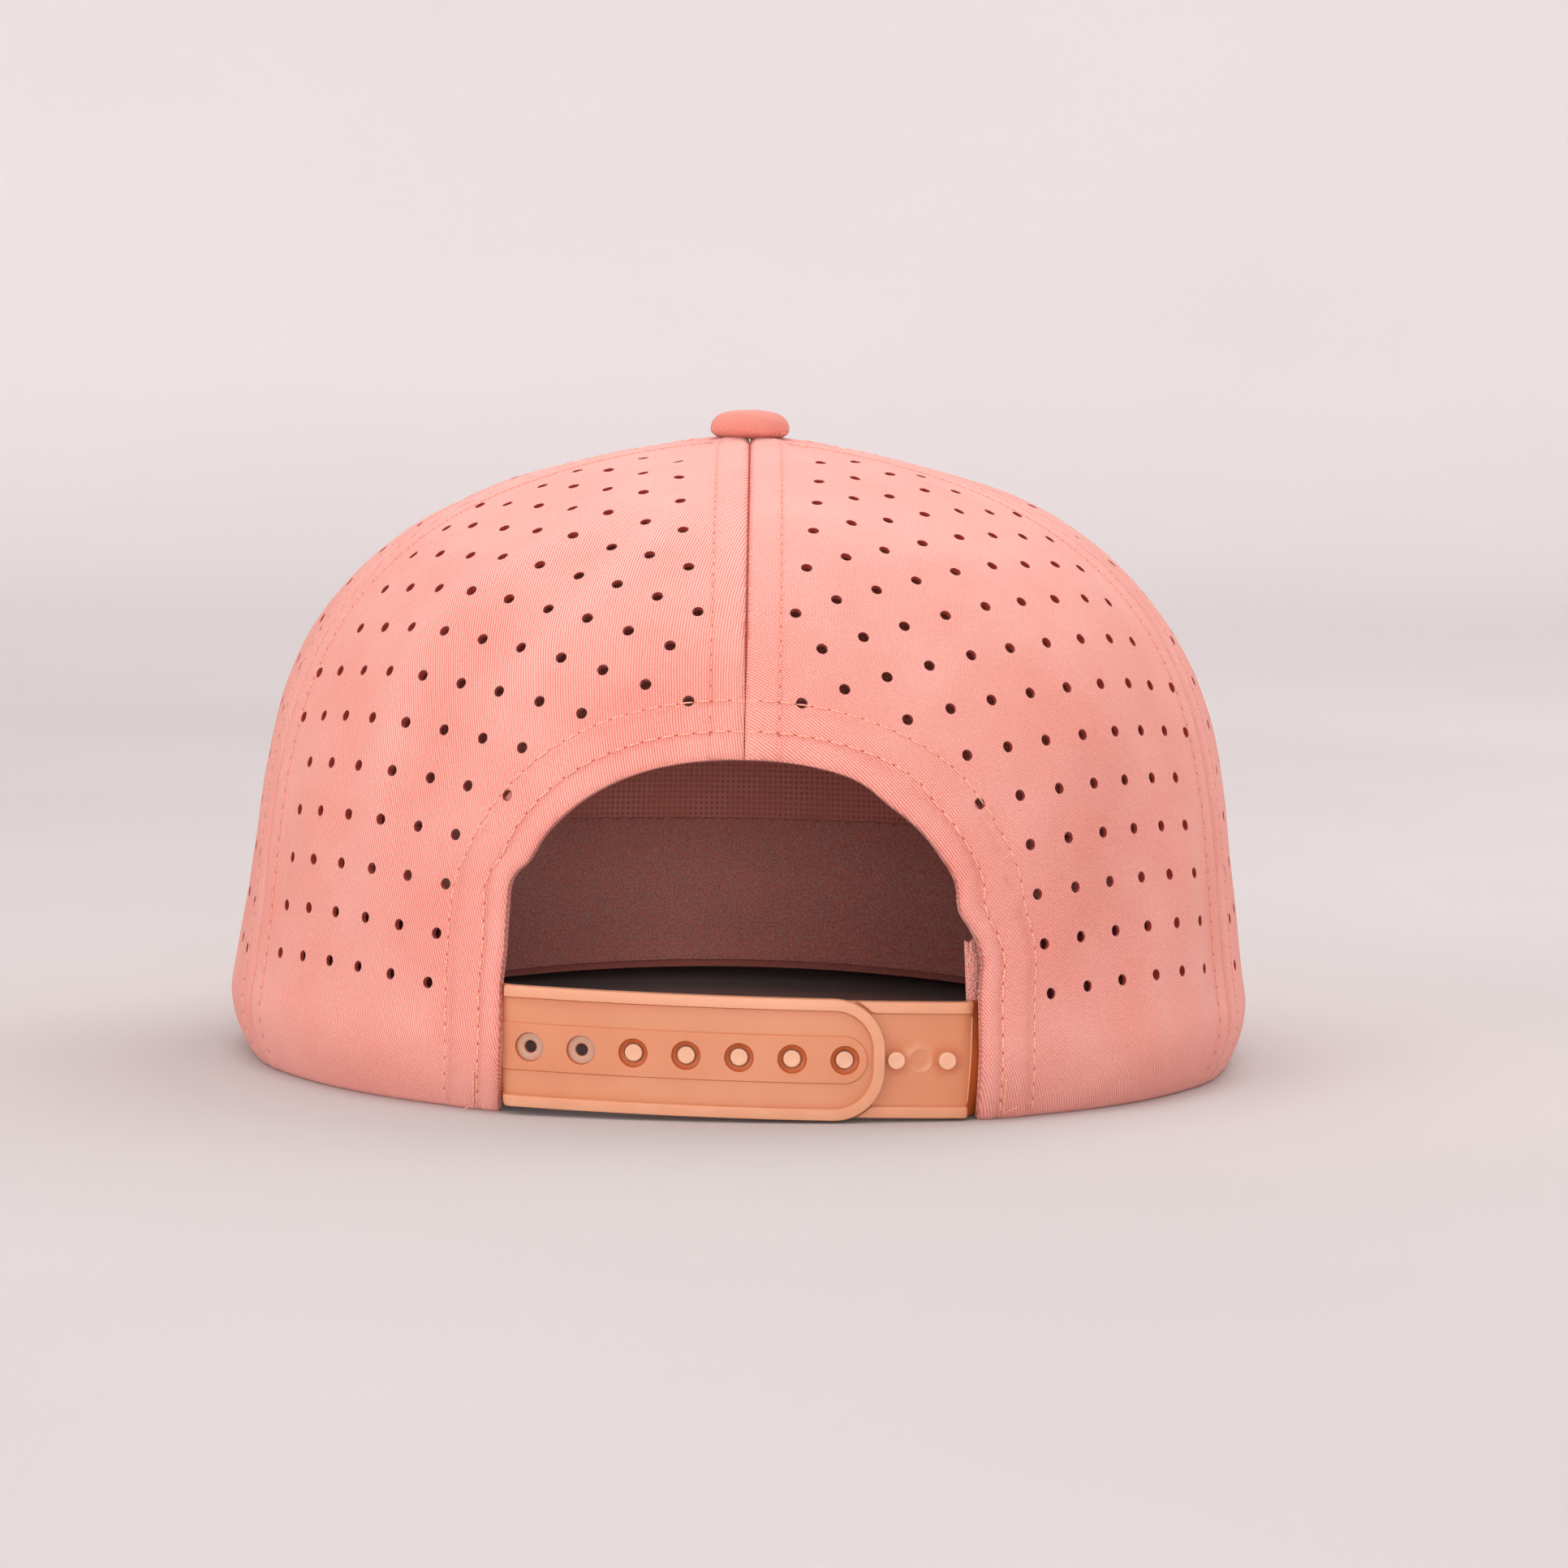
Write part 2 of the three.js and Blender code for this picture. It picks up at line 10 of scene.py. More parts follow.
import bpy
import numpy as np
from mathutils import Matrix, Vector, geometry, kdtree


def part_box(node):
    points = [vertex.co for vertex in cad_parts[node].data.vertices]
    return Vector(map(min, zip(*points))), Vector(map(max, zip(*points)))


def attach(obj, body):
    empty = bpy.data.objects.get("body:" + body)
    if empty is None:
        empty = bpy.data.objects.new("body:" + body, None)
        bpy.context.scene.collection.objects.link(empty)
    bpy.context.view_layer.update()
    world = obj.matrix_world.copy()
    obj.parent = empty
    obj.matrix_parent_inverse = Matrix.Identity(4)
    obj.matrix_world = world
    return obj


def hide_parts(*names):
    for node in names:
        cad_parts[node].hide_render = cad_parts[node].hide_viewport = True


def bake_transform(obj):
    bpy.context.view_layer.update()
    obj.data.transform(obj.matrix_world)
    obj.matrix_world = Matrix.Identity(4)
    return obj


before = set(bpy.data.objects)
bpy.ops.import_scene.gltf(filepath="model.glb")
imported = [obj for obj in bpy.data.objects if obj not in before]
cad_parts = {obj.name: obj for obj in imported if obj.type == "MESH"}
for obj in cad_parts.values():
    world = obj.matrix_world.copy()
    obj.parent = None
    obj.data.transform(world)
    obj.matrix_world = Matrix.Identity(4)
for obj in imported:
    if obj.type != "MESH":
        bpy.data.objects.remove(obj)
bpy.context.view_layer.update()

MM = 0.001
DEGREE = math.pi / 180
TURN = 2 * math.pi


# ---- Sizes, as in the CAD model ----

def axis_place():
    """The crown's axis along Y, in millimetres: the button sits on it."""
    low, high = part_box("button_cover")
    return (low.y + high.y) / 2 / MM


AXIS_Y = axis_place()
PROFILE = np.array([(96.8, 0.0), (79.7, 38.0), (110.3, 103.8), (0.0, 112.7)])
LENGTH_RATIO = 1.05
HEM_TUCK = 7.8
TUCK_HEIGHT = 14.0
HEM_RADIUS = 89.0
TOP_HOLE_RADIUS = 3.6
BACK_SEAM = (69 * DEGREE, 74 * DEGREE)
FRONT_SEAM = (126 * DEGREE, 120 * DEGREE)
ARCH_HALF_WIDTH = 40.6
ARCH_SPRING = 24.0
ARCH_TOP = 60.8
ARCH_POWER = 2.25
FACING_WIDTH = 9.0
SWEATBAND_BOTTOM = 1.5
SWEATBAND_TOP = 35.0
SWEATBAND_STANDOFF = 2.7
SWEATBAND_ENDS = (28.6 * DEGREE, TURN - 26.6 * DEGREE)
VISOR_HALF_WIDTH = 88.0
VISOR_END_Y = -38.0
VISOR_LENGTH = 122.0
VISOR_SPREAD = 65 * DEGREE
VISOR_RISE = 6.0
VISOR_PITCH = 0.03
VISOR_THICKNESS = 4.2
STRAP_RADIUS = 145.0
STRAP_BOTTOM = 1.0
STRAP_HEIGHT = 20.5
STRAP_THICKNESS = 1.1
STRAP_SPACE = 0.15
HINGE_PLACE = 38.6
HINGE_DEPTH = 3.4
STRAP_TILT = 0.0175              # the closure is sewn in a little lower on the right
STRAP_SAG = 0.25
SNAP_PITCH = 8.8
SNAP_COUNT = 7
FIRST_HOLE = 4 * SNAP_PITCH
FIRST_PEG = 2 * SNAP_PITCH
HOLE_TIP = -24.3
PEG_TIP = 22.5
FLANGE_END = 34.5 * DEGREE
BUTTON_RADIUS = 7.15
BUTTON_BASE = 113.0
BUTTON_HEIGHT = 4.6

# Radii at which azimuths are unrolled into lengths, for waviness and weave.
DRAPE_RADIUS = 95
PANEL_RADIUS = 90
FRONT_RADIUS = 92
BAND_RADIUS = 88
ARCH_RADIUS = 62

# Cloth and thread.
PANEL_THICKNESS = 0.9
SEAM_GAP = 0.07
TOPSTITCH = 5.8                  # from a seam to the row beside it
STITCH_PITCH = 2.9
THREAD_RADIUS = 0.16
FINE_RADIUS = 0.13
ARCH_ROWS = ((3.4, 4.5), (9.2, 9.5))   # distances from the opening's edge, at the hem and the top
PUNCH_RADIUS = 1.0
PUNCH_PITCH = 8.64
PUNCH_ROW = 8.52
PUNCH_ROWS = 15
PUNCH_COLUMNS = 8                # on either side of the grain line
FIRST_PUNCH_ROW = 23.3
PUNCH_FROM_SEAM = 6.6
PUNCH_FROM_ARCH = 9.6
GRAIN_RADIUS = 103.1
GRAIN_AZIMUTH = 52.9 * DEGREE
GRAIN_DRIFT = -0.056 * DEGREE
GRAIN_CURVE = 0.75


# ---- Small helpers ----

def smoothstep(x, low, high):
    share = np.clip((x - low) / (high - low), 0, 1)
    return share * share * (3 - 2 * share)


def bell(x, width):
    return np.exp(-(x / width) ** 2)


def lerp(a, b, share):
    return a + (b - a) * share


def waves(x, y, lengths, seed):
    """Smooth irregular waviness between about -1 and 1, from a few seeded plane waves."""
    random = np.random.default_rng(seed)
    total = np.zeros(np.broadcast(x, y).shape)
    for length in lengths:
        angle, phase = random.uniform(0, TURN, 2)
        total += np.sin(TURN * (x * math.cos(angle) + y * math.sin(angle)) / length + phase)
    return total / math.sqrt(len(lengths))


def lengths_along(line):
    """Length from a line's start to each of its points."""
    return np.concatenate([[0], np.cumsum(np.linalg.norm(np.diff(line, axis=0), axis=1))])


def resample(line, spacing):
    """The same line with evenly spaced points, its two ends kept."""
    along = lengths_along(line)
    count = max(2, int(round(along[-1] / spacing)) + 1)
    places = np.linspace(0, along[-1], count)
    return np.stack([np.interp(places, along, line[:, k]) for k in range(line.shape[1])], 1)


def inside(points, loop):
    """Which flat points lie inside a closed loop."""
    x, y = points[:, :1], points[:, 1:2]
    x0, y0 = loop.T
    x1, y1 = np.roll(loop, -1, 0).T
    crosses = (y0 > y) != (y1 > y)
    rise = np.where(y1 == y0, 1, y1 - y0)
    return (crosses & (x < x0 + (y - y0) * (x1 - x0) / rise)).sum(1) % 2 == 1


def distance_to(points, line):
    """Distance from flat points to the nearest point of a finely spaced line."""
    tree = kdtree.KDTree(len(line))
    for index, (x, y) in enumerate(line):
        tree.insert((x, y, 0), index)
    tree.balance()
    return np.array([tree.find((x, y, 0))[2] for x, y in points])


# ---- The crown's surface ----

def profile_table(count=4001):
    t = np.linspace(0, 1, count)
    weights = np.stack([(1 - t) ** 3, 3 * (1 - t) ** 2 * t, 3 * (1 - t) * t ** 2, t ** 3], 1)
    radius, height = (weights @ PROFILE).T
    radius = radius - HEM_TUCK * np.maximum(0, 1 - height / TUCK_HEIGHT) ** 2
    steps = np.hypot(np.diff(radius), np.diff(height))
    arc = np.concatenate([[0], np.cumsum(steps)])
    tilt = np.arctan2(-np.gradient(radius), np.gradient(height)) * smoothstep(height, 0, 20)
    return t, radius, height, arc, tilt


SHARE, RADIUS, HEIGHT, ARC, TILT = profile_table()


def radius_at(s):
    return np.interp(s, ARC, RADIUS)


def height_at(s):
    return np.interp(s, ARC, HEIGHT)


def arc_at_height(height):
    return np.interp(height, HEIGHT, ARC)


def arc_at_radius(radius):
    """On the dome, where the radius only falls."""
    dome = HEIGHT > 60
    return np.interp(-radius, -RADIUS[dome], ARC[dome])


TOP_ARC = arc_at_radius(TOP_HOLE_RADIUS)


def seam_at(seam, s):
    return lerp(seam[0], seam[1], np.interp(s, ARC, SHARE))


def crown_points(azimuth, s, depth):
    """Points at a depth under the crown's outer face."""
    tilt = np.interp(s, ARC, TILT)
    radius = radius_at(s) - depth * np.cos(tilt)
    across = radius * np.sin(azimuth)
    back = LENGTH_RATIO * radius * np.cos(azimuth)
    return np.stack(np.broadcast_arrays(across, back, height_at(s) - depth * np.sin(tilt)), -1)


def crown_normals(azimuth, s):
    tilt = np.interp(s, ARC, TILT)
    normals = np.stack(np.broadcast_arrays(
        np.cos(tilt) * np.sin(azimuth), np.cos(tilt) * np.cos(azimuth), np.sin(tilt)), -1)
    return normals / np.linalg.norm(normals, axis=-1, keepdims=True)


def underside_at(x, y):
    """Height of the visor's underside over the floor."""
    arch = VISOR_RISE * (1 - (x / VISOR_HALF_WIDTH) ** 2)
    return np.maximum(0, arch + VISOR_PITCH * np.minimum(0, y - VISOR_END_Y))


def hem_height(azimuth):
    """The hem lies on the floor behind, and follows the visor in front."""
    x = HEM_RADIUS * np.sin(azimuth)
    y = LENGTH_RATIO * HEM_RADIUS * np.cos(azimuth)
    return np.where(np.cos(azimuth) > 0, 0, underside_at(x, y))


def grain_azimuth(s):
    return GRAIN_AZIMUTH + GRAIN_DRIFT * s


def grain_coordinates(azimuth, s, middle):
    """Place in the flat cloth of a panel cut on the grain line whose azimuth is middle."""
    latitude = np.arccos(np.clip(radius_at(s) / GRAIN_RADIUS, 0, 1))
    across = np.arcsin(np.cos(latitude) * np.sin(azimuth - middle))
    along = np.arcsin(np.clip(np.sin(latitude) / np.cos(across), -1, 1))
    return -GRAIN_RADIUS * across, s + GRAIN_CURVE * GRAIN_RADIUS * (along - latitude)


def punch_place(middle, column, s_row):
    """Azimuth and arc length of a punched hole, from its column and its row on the grain line."""
    latitude = math.acos(min(1, radius_at(s_row) / GRAIN_RADIUS))
    across = PUNCH_PITCH * column / GRAIN_RADIUS
    lower = math.asin(math.sin(latitude) * math.cos(across))
    turn = math.atan2(math.sin(across), math.cos(across) * math.cos(latitude))
    return middle - turn, s_row - GRAIN_CURVE * GRAIN_RADIUS * (latitude - lower)


# ---- The rear opening ----

def arch_line(side, margins=(0.0, 0.0), count=240):
    """Half of the opening's edge, from the top down to the hem, as azimuths and arc lengths.

    margins are the distances outside the edge, at the hem and at the top.
    """
    angle = np.linspace(90, 0, count) * DEGREE
    across = np.cos(angle) ** (2 / ARCH_POWER)
    up = np.abs(np.sin(angle)) ** (2 / ARCH_POWER)
    margin = lerp(margins[0], margins[1], smoothstep(up, 0.1, 0.9))
    x = (ARCH_HALF_WIDTH + margin) * across
    z = ARCH_SPRING + (ARCH_TOP - ARCH_SPRING + margin) * up
    low = np.linspace(ARCH_SPRING, 0, 30)[1:]
    x = np.concatenate([x, np.full(low.size, ARCH_HALF_WIDTH + margins[0])])
    z = np.concatenate([z, low])
    reach = np.hypot(x, np.maximum(0, z - ARCH_SPRING))
    follow = 1 - 0.75 * smoothstep(np.full(z.size, np.mean(margins)), 2, 12)
    waver = edge_waver(side, z) * follow
    x, z = x + waver * x / reach, z + waver * np.maximum(0, z - ARCH_SPRING) / reach
    s = arc_at_height(z)
    return side * np.arcsin(np.clip(x / radius_at(s), -1, 1)), s


def edge_waver(side, z):
    """How far the folded edge pulls out: it puckers where its curve meets the straight sides."""
    if side > 0:
        pucker = 0.95 * bell(z - 38.8, 3.2) * (1 - smoothstep(z, 40.8, 42.8))
        return pucker - 0.3 * bell(z - 44, 2.2) - 0.6 * bell(z - 28, 4.5) - 0.2 * bell(z - 14, 8)
    flat = 1.3 * smoothstep(z, 38, 46) * (1 - smoothstep(z, 54, 58.5))
    return 0.45 * bell(z - 27, 3) + 0.3 * bell(z - 10, 8) - 2.2 * bell(z - 36.6, 4.4) - flat


# ---- Flat meshing ----

def fill_outline(outline, rows, holes=(), features=(), spacing=1.5, closest=0.35):
    """Triangles over a flat outline, as points and corner indices.

    rows are lines of extra points. holes and features are closed loops, and holes are left open.
    """
    loops = [outline, *holes, *features]
    fixed = np.concatenate(loops)
    edges, start = [], 0
    for loop in loops:
        size = len(loop)
        edges += [(start + k, start + (k + 1) % size) for k in range(size)]
        start += size
    low, high = outline.min(0), outline.max(0)
    x = np.arange(low[0], high[0], spacing)
    y = np.arange(low[1], high[1], spacing * math.sqrt(0.75))
    grid = np.stack(np.meshgrid(x, y), -1)
    grid[1::2, :, 0] += spacing / 2
    grid = grid.reshape(-1, 2)
    lined = keep_clear(thin(np.concatenate(rows), closest), fixed, closest)
    known = np.concatenate([fixed, lined[inside(lined, outline)]])
    grid = keep_clear(grid[inside(grid, outline)], known, spacing * 0.6)
    points = np.concatenate([known, grid])
    result = geometry.delaunay_2d_cdt([Vector(p) for p in points], edges, [], 0, 1e-6, False)
    points = np.array([tuple(p) for p in result[0]])
    corners = np.array([tuple(f) for f in result[2]])
    middles = points[corners].mean(1)
    keep = inside(middles, outline)
    for hole in holes:
        near = np.linalg.norm(middles - hole.mean(0), axis=1) < np.ptp(hole, axis=0).max()
        keep[np.where(near)[0][inside(middles[near], hole)]] = False
    corners = corners[keep]
    a, b, c = (points[corners[:, k]] for k in range(3))
    clockwise = (b - a)[:, 0] * (c - a)[:, 1] - (b - a)[:, 1] * (c - a)[:, 0] < 0
    corners[clockwise] = corners[clockwise][:, ::-1]
    used, packed = np.unique(corners, return_inverse=True)
    return points[used], packed.reshape(-1, 3)


def thin(points, closest):
    """One point for each small cell."""
    cells = np.round(points / closest).astype(int)
    return points[np.unique(cells, axis=0, return_index=True)[1]]


def keep_clear(points, others, closest):
    """The points that aren't close to any of the others."""
    return points[distance_to(points, others) > closest]


def rim_edges(corners):
    """Directed edges that only one triangle has."""
    directed = np.concatenate([corners[:, [0, 1]], corners[:, [1, 2]], corners[:, [2, 0]]])
    keys = set(map(tuple, directed.tolist()))
    return [edge for edge in keys if (edge[1], edge[0]) not in keys]


# ---- Objects ----

def enclosed_volume(points, faces):
    """Volume inside closed faces, negative if they face inwards."""
    total = 0.0
    for size in sorted(set(map(len, faces))):
        corners = points[np.array([face for face in faces if len(face) == size])]
        for k in range(1, size - 1):
            total += np.einsum("ij,ij->", corners[:, 0], np.cross(corners[:, k], corners[:, k + 1]))
    return total / 6


def make_object(name, points, faces, cloth=None, tone=None, sharp=50, closed=True):
    """A mesh from points in millimetres around the crown's axis; a closed one faces outwards."""
    if closed and enclosed_volume(np.asarray(points, float), faces) < 0:
        faces = [tuple(face)[::-1] for face in faces]
    mesh = bpy.data.meshes.new(name)
    placed = (np.asarray(points, float) + (0, AXIS_Y, 0)) * MM
    mesh.from_pydata(placed.tolist(), [], [list(map(int, face)) for face in faces])
    if cloth is not None:
        values = np.zeros((len(points), 3), np.float32)
        values[:, :2] = cloth
        attribute = mesh.attributes.new("cloth", "FLOAT_VECTOR", "POINT")
        attribute.data.foreach_set("vector", values.ravel())
    if tone is not None:
        values = np.asarray(tone, np.float32)
        attribute = mesh.attributes.new("tone", "FLOAT", "POINT")
        attribute.data.foreach_set("value", values)
    mesh.shade_smooth()
    mesh.set_sharp_from_angle(angle=sharp * DEGREE)
    mesh.update()
    piece = bpy.data.objects.new(name, mesh)
    bpy.context.scene.collection.objects.link(piece)
    return piece


def finish_piece(piece, material, nodes=(), body="crown"):
    piece.data.materials.append(material)
    if body:
        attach(piece, body)
    if nodes:
        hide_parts(*nodes)
    return piece


def sandwich(front, back, corners):
    """A closed skin: a front and a back face of the same triangles, joined round every rim."""
    count = len(front)
    faces = corners.tolist()
    faces += (corners[:, ::-1] + count).tolist()
    faces += [(b, a, a + count, b + count) for a, b in rim_edges(corners)]
    return np.concatenate([front, back]), faces


def lipped_sandwich(front, back, corners, lip):
    """The same skin with one more ring round every rim, a share of the way through.

    Also returns which front point each ring point belongs to.
    """
    count = len(front)
    rims = np.array(rim_edges(corners))
    owners, packed = np.unique(rims, return_inverse=True)
    packed = packed.reshape(-1, 2) + 2 * count
    faces = corners.tolist() + (corners[:, ::-1] + count).tolist()
    faces += [(b, a, p, q) for (a, b), (p, q) in zip(rims.tolist(), packed.tolist())]
    faces += [(q, p, a + count, b + count)
              for (a, b), (p, q) in zip(rims.tolist(), packed.tolist())]
    return np.concatenate([front, back, lerp(front, back, lip)[owners]]), faces, owners


def grid_sandwich(front, back):
    """A closed skin between two grids of points, rows by columns."""
    rows, columns = front.shape[:2]
    count = rows * columns
    index = np.arange(count).reshape(rows, columns)
    first, beside = index[:, :-1], index[:, 1:]
    quads = np.stack([first[:-1], beside[:-1], beside[1:], first[1:]], -1).reshape(-1, 4)
    faces = quads.tolist() + (quads[:, ::-1] + count).tolist()
    rims = [(first[0], beside[0]), (beside[-1], first[-1]),
            (index[1:, 0], index[:-1, 0]), (index[:-1, -1], index[1:, -1])]
    for a, b in rims:
        faces += np.stack([b, a, a + count, b + count], 1).tolist()
    points = np.concatenate([front.reshape(-1, 3), back.reshape(-1, 3)])
    return points, faces


def ring_skin(rings, tips=(), looped=False):
    """Points and faces through rings of equally many points.

    tips are the single points that close the first ring and the last one. In a looped skin the
    last ring joins the first.
    """
    rings = np.asarray(rings, float)
    count, segments = rings.shape[:2]
    index = np.arange(count * segments).reshape(count, segments)
    beside = np.roll(index, -1, 1)
    quads = np.stack([index, beside, np.roll(beside, -1, 0), np.roll(index, -1, 0)], -1)
    faces = quads[:count if looped else count - 1].reshape(-1, 4).tolist()
    for tip, (a, b) in enumerate([(beside[0], index[0]), (index[-1], beside[-1])][:len(tips)]):
        faces += [(index.size + tip, p, q) for p, q in zip(a.tolist(), b.tolist())]
    points = rings.reshape(-1, 3)
    return (np.concatenate([points, tips]) if len(tips) else points), faces


def turned_rings(profile, segments):
    """Rings round the axis, from places given as radius and height."""
    angle = np.arange(segments) * TURN / segments
    return [np.stack([r * np.cos(angle), r * np.sin(angle), np.full(segments, z)], 1)
            for r, z in profile]


def lathe(profile, segments):
    """A solid of revolution, whose profile starts and ends on the axis."""
    tips = [(0, 0, profile[0][1]), (0, 0, profile[-1][1])]
    return ring_skin(turned_rings(profile[1:-1], segments), tips)


# ---- Thread ----

class Thread:
    """Collects stitches along rows, as small bowed capsules, into one mesh."""

    SIDES = 6
    RINGS = 6

    def __init__(self, marks=None):
        self.points = []
        self.faces = []
        self.count = 0
        self.marks = marks

    def capsules(self, starts, ends, normals, radius, bow):
        """One capsule for each start and end, raised by bow in its middle."""
        share = np.linspace(0, 1, self.RINGS)
        along = ends - starts
        side = np.cross(along, normals)
        side /= np.linalg.norm(side, axis=1, keepdims=True)
        angle = np.arange(self.SIDES) * TURN / self.SIDES
        rise = bow * (1 - np.abs(2 * share - 1) ** 3) - bow * 0.6
        girth = radius * np.maximum(0.35, np.sqrt(1 - np.abs(2 * share - 1) ** 6))
        middle = starts[:, None] + along[:, None] * share[None, :, None]
        middle = middle + normals[:, None] * rise[None, :, None]
        around = (np.cos(angle)[None, :, None] * side[:, None]
                  + np.sin(angle)[None, :, None] * normals[:, None])
        rings = middle[:, :, None] + girth[None, :, None, None] * around[:, None]
        self.points.append(rings.reshape(-1, 3))
        size = self.RINGS * self.SIDES
        _, faces = ring_skin(np.zeros((self.RINGS, self.SIDES, 3)))
        faces = [face[::-1] for face in faces]
        faces += [list(range(self.SIDES)), list(range(size - 1, size - 1 - self.SIDES, -1))]
        for k in range(len(starts)):
            offset = self.count + k * size
            self.faces += [[corner + offset for corner in face] for face in faces]
        self.count += len(starts) * size

    def row(self, line, normals, pitch=STITCH_PITCH, gap=0.35, radius=THREAD_RADIUS, bow=0.22):
        """Stitches end to end along a line of points."""
        along = lengths_along(line)
        count = int(along[-1] / pitch)
        if count < 1:
            return
        first = np.arange(count) * along[-1] / count
        last = first + along[-1] / count - gap

        def at(places, values):
            return np.stack([np.interp(places, along, values[:, k]) for k in range(3)], 1)

        upright = at((first + last) / 2, normals)
        upright /= np.linalg.norm(upright, axis=1, keepdims=True)
        self.capsules(at(first, line), at(last, line), upright, radius, bow)
        # Painted shade: a dark capsule sunk in each gap between stitches, where the thread shades
        # the cloth.
        if self.marks and gap > 0 and count > 1:
            sunk = -0.04 * upright[1:]
            self.marks.capsules(at(last[:-1] - 0.1, line) + sunk, at(first[1:] + 0.1, line) + sunk,
                                upright[1:], 0.8 * radius, 0.0)

    def crown_row(self, azimuth, s, depth, **style):
        self.row(crown_points(azimuth, s, depth), crown_normals(azimuth, s), **style)

    def pits(self, azimuth, s, depth, pitch, length, radius):
        """Short dark dashes along a line: the shadowed gaps between a seam's own threads."""
        along = lengths_along(crown_points(azimuth, s, depth))
        places = np.arange(pitch, along[-1] - pitch, pitch)
        middle = np.interp(places, along, s)
        starts, ends = ([np.interp(places + step, along, values) for values in (azimuth, s)]
                        for step in (0, length))
        self.capsules(crown_points(*starts, depth), crown_points(*ends, depth),
                      crown_normals(starts[0], middle), radius, 0.0)

    def tail(self, start, direction, length, seed, steps=6):
        """A loose thread end that curls away from the cloth."""
        random = np.random.default_rng(seed)
        heading = np.array(direction, float)
        places = [np.array(start, float)]
        for _ in range(steps):
            heading = heading / np.linalg.norm(heading) + random.normal(0, 0.35, 3)
            places.append(places[-1] + heading / np.linalg.norm(heading) * length / steps)
        line = np.array(places)
        upright = np.tile((0.0, 1.0, 0.2), (len(line) - 1, 1))
        self.capsules(line[:-1], line[1:], upright, FINE_RADIUS, 0.0)

    def piece(self, name):
        return make_object(name, np.concatenate(self.points), self.faces, sharp=80)


# ---- Crown panels ----

def seam_relief(distance, along):
    """Height beside a seam: a line drawn deeper up the dome, an allowance and its stitched row."""
    pulled = lerp(0.2, 0.55, smoothstep(along, 70, 84))
    past_row = smoothstep(distance, TOPSTITCH - 0.1, TOPSTITCH + 1.4)
    allowance = smoothstep(distance, 0.4, 1.5) - past_row
    wave = np.cos(TURN * along / STITCH_PITCH)
    row = -0.2 * (0.75 + 0.25 * wave) * bell(distance - TOPSTITCH, 0.5)
    pucker = 0.05 * wave * bell(distance - TOPSTITCH, 2.2)
    return 0.3 * allowance + row + pucker - pulled * bell(distance, 0.3)


def arch_margin(row, height):
    """A row's distance from the opening's edge, which shrinks towards the hem."""
    up = (height - ARCH_SPRING) / (ARCH_TOP - ARCH_SPRING)
    return lerp(row[0], row[1], smoothstep(up, 0.1, 0.9))


def arch_relief(distance, height, along):
    """Height of the folded band round the rear opening, with its two stitched rows."""
    inner, outer = (arch_margin(row, height) for row in ARCH_ROWS)
    wave = np.cos(TURN * along / STITCH_PITCH)
    band = 0.34 * (1 - smoothstep(distance, outer + 0.1, outer + 1.3))
    rows = sum(bell(distance - row, 0.5) * (0.75 + 0.25 * wave) for row in (inner, outer))
    puckers = sum(bell(distance - row, 2.0) for row in (inner, outer)) * wave
    puff = np.sin(math.pi * np.clip((distance - 0.4) / (inner - 0.8), 0, 1))
    return band - 0.23 * rows + 0.06 * puckers + 0.18 * puff


# Soft creases: azimuth and arc length at both ends, half width and height.
CREASES = (
    (46, 30, 46, 88, 5.0, 0.5),
    (13, 116, 31, 70, 4.0, 0.55),
    (27, 111, 46, 90, 4.0, 0.45),
    (-38, 30, -46, 66, 12.0, -0.4),
    (-61, 8, -63, 44, 4.0, 0.5),
    (-51, 6, -52, 26, 3.5, 0.4),
)


def crease(azimuth, s, first, low, last, high, width, height):
    """A ridge, or a hollow where height is negative, that fades at its ends."""
    across, along = (last - first) * DEGREE * PANEL_RADIUS, high - low
    length = math.hypot(across, along)
    x, y = (azimuth - first * DEGREE) * PANEL_RADIUS, s - low
    share = (x * across + y * along) / length ** 2
    aside = (x * along - y * across) / length
    fade = smoothstep(share, -0.15, 0.25) * (1 - smoothstep(share, 0.75, 1.15))
    return height * bell(aside, width) * fade


def fold_round(distance, radius):
    """How far a folded edge has turned under, by the distance from it."""
    share = np.clip(distance / radius, 0, 1)
    return radius * (1 - np.sqrt(1 - (1 - share) ** 2))


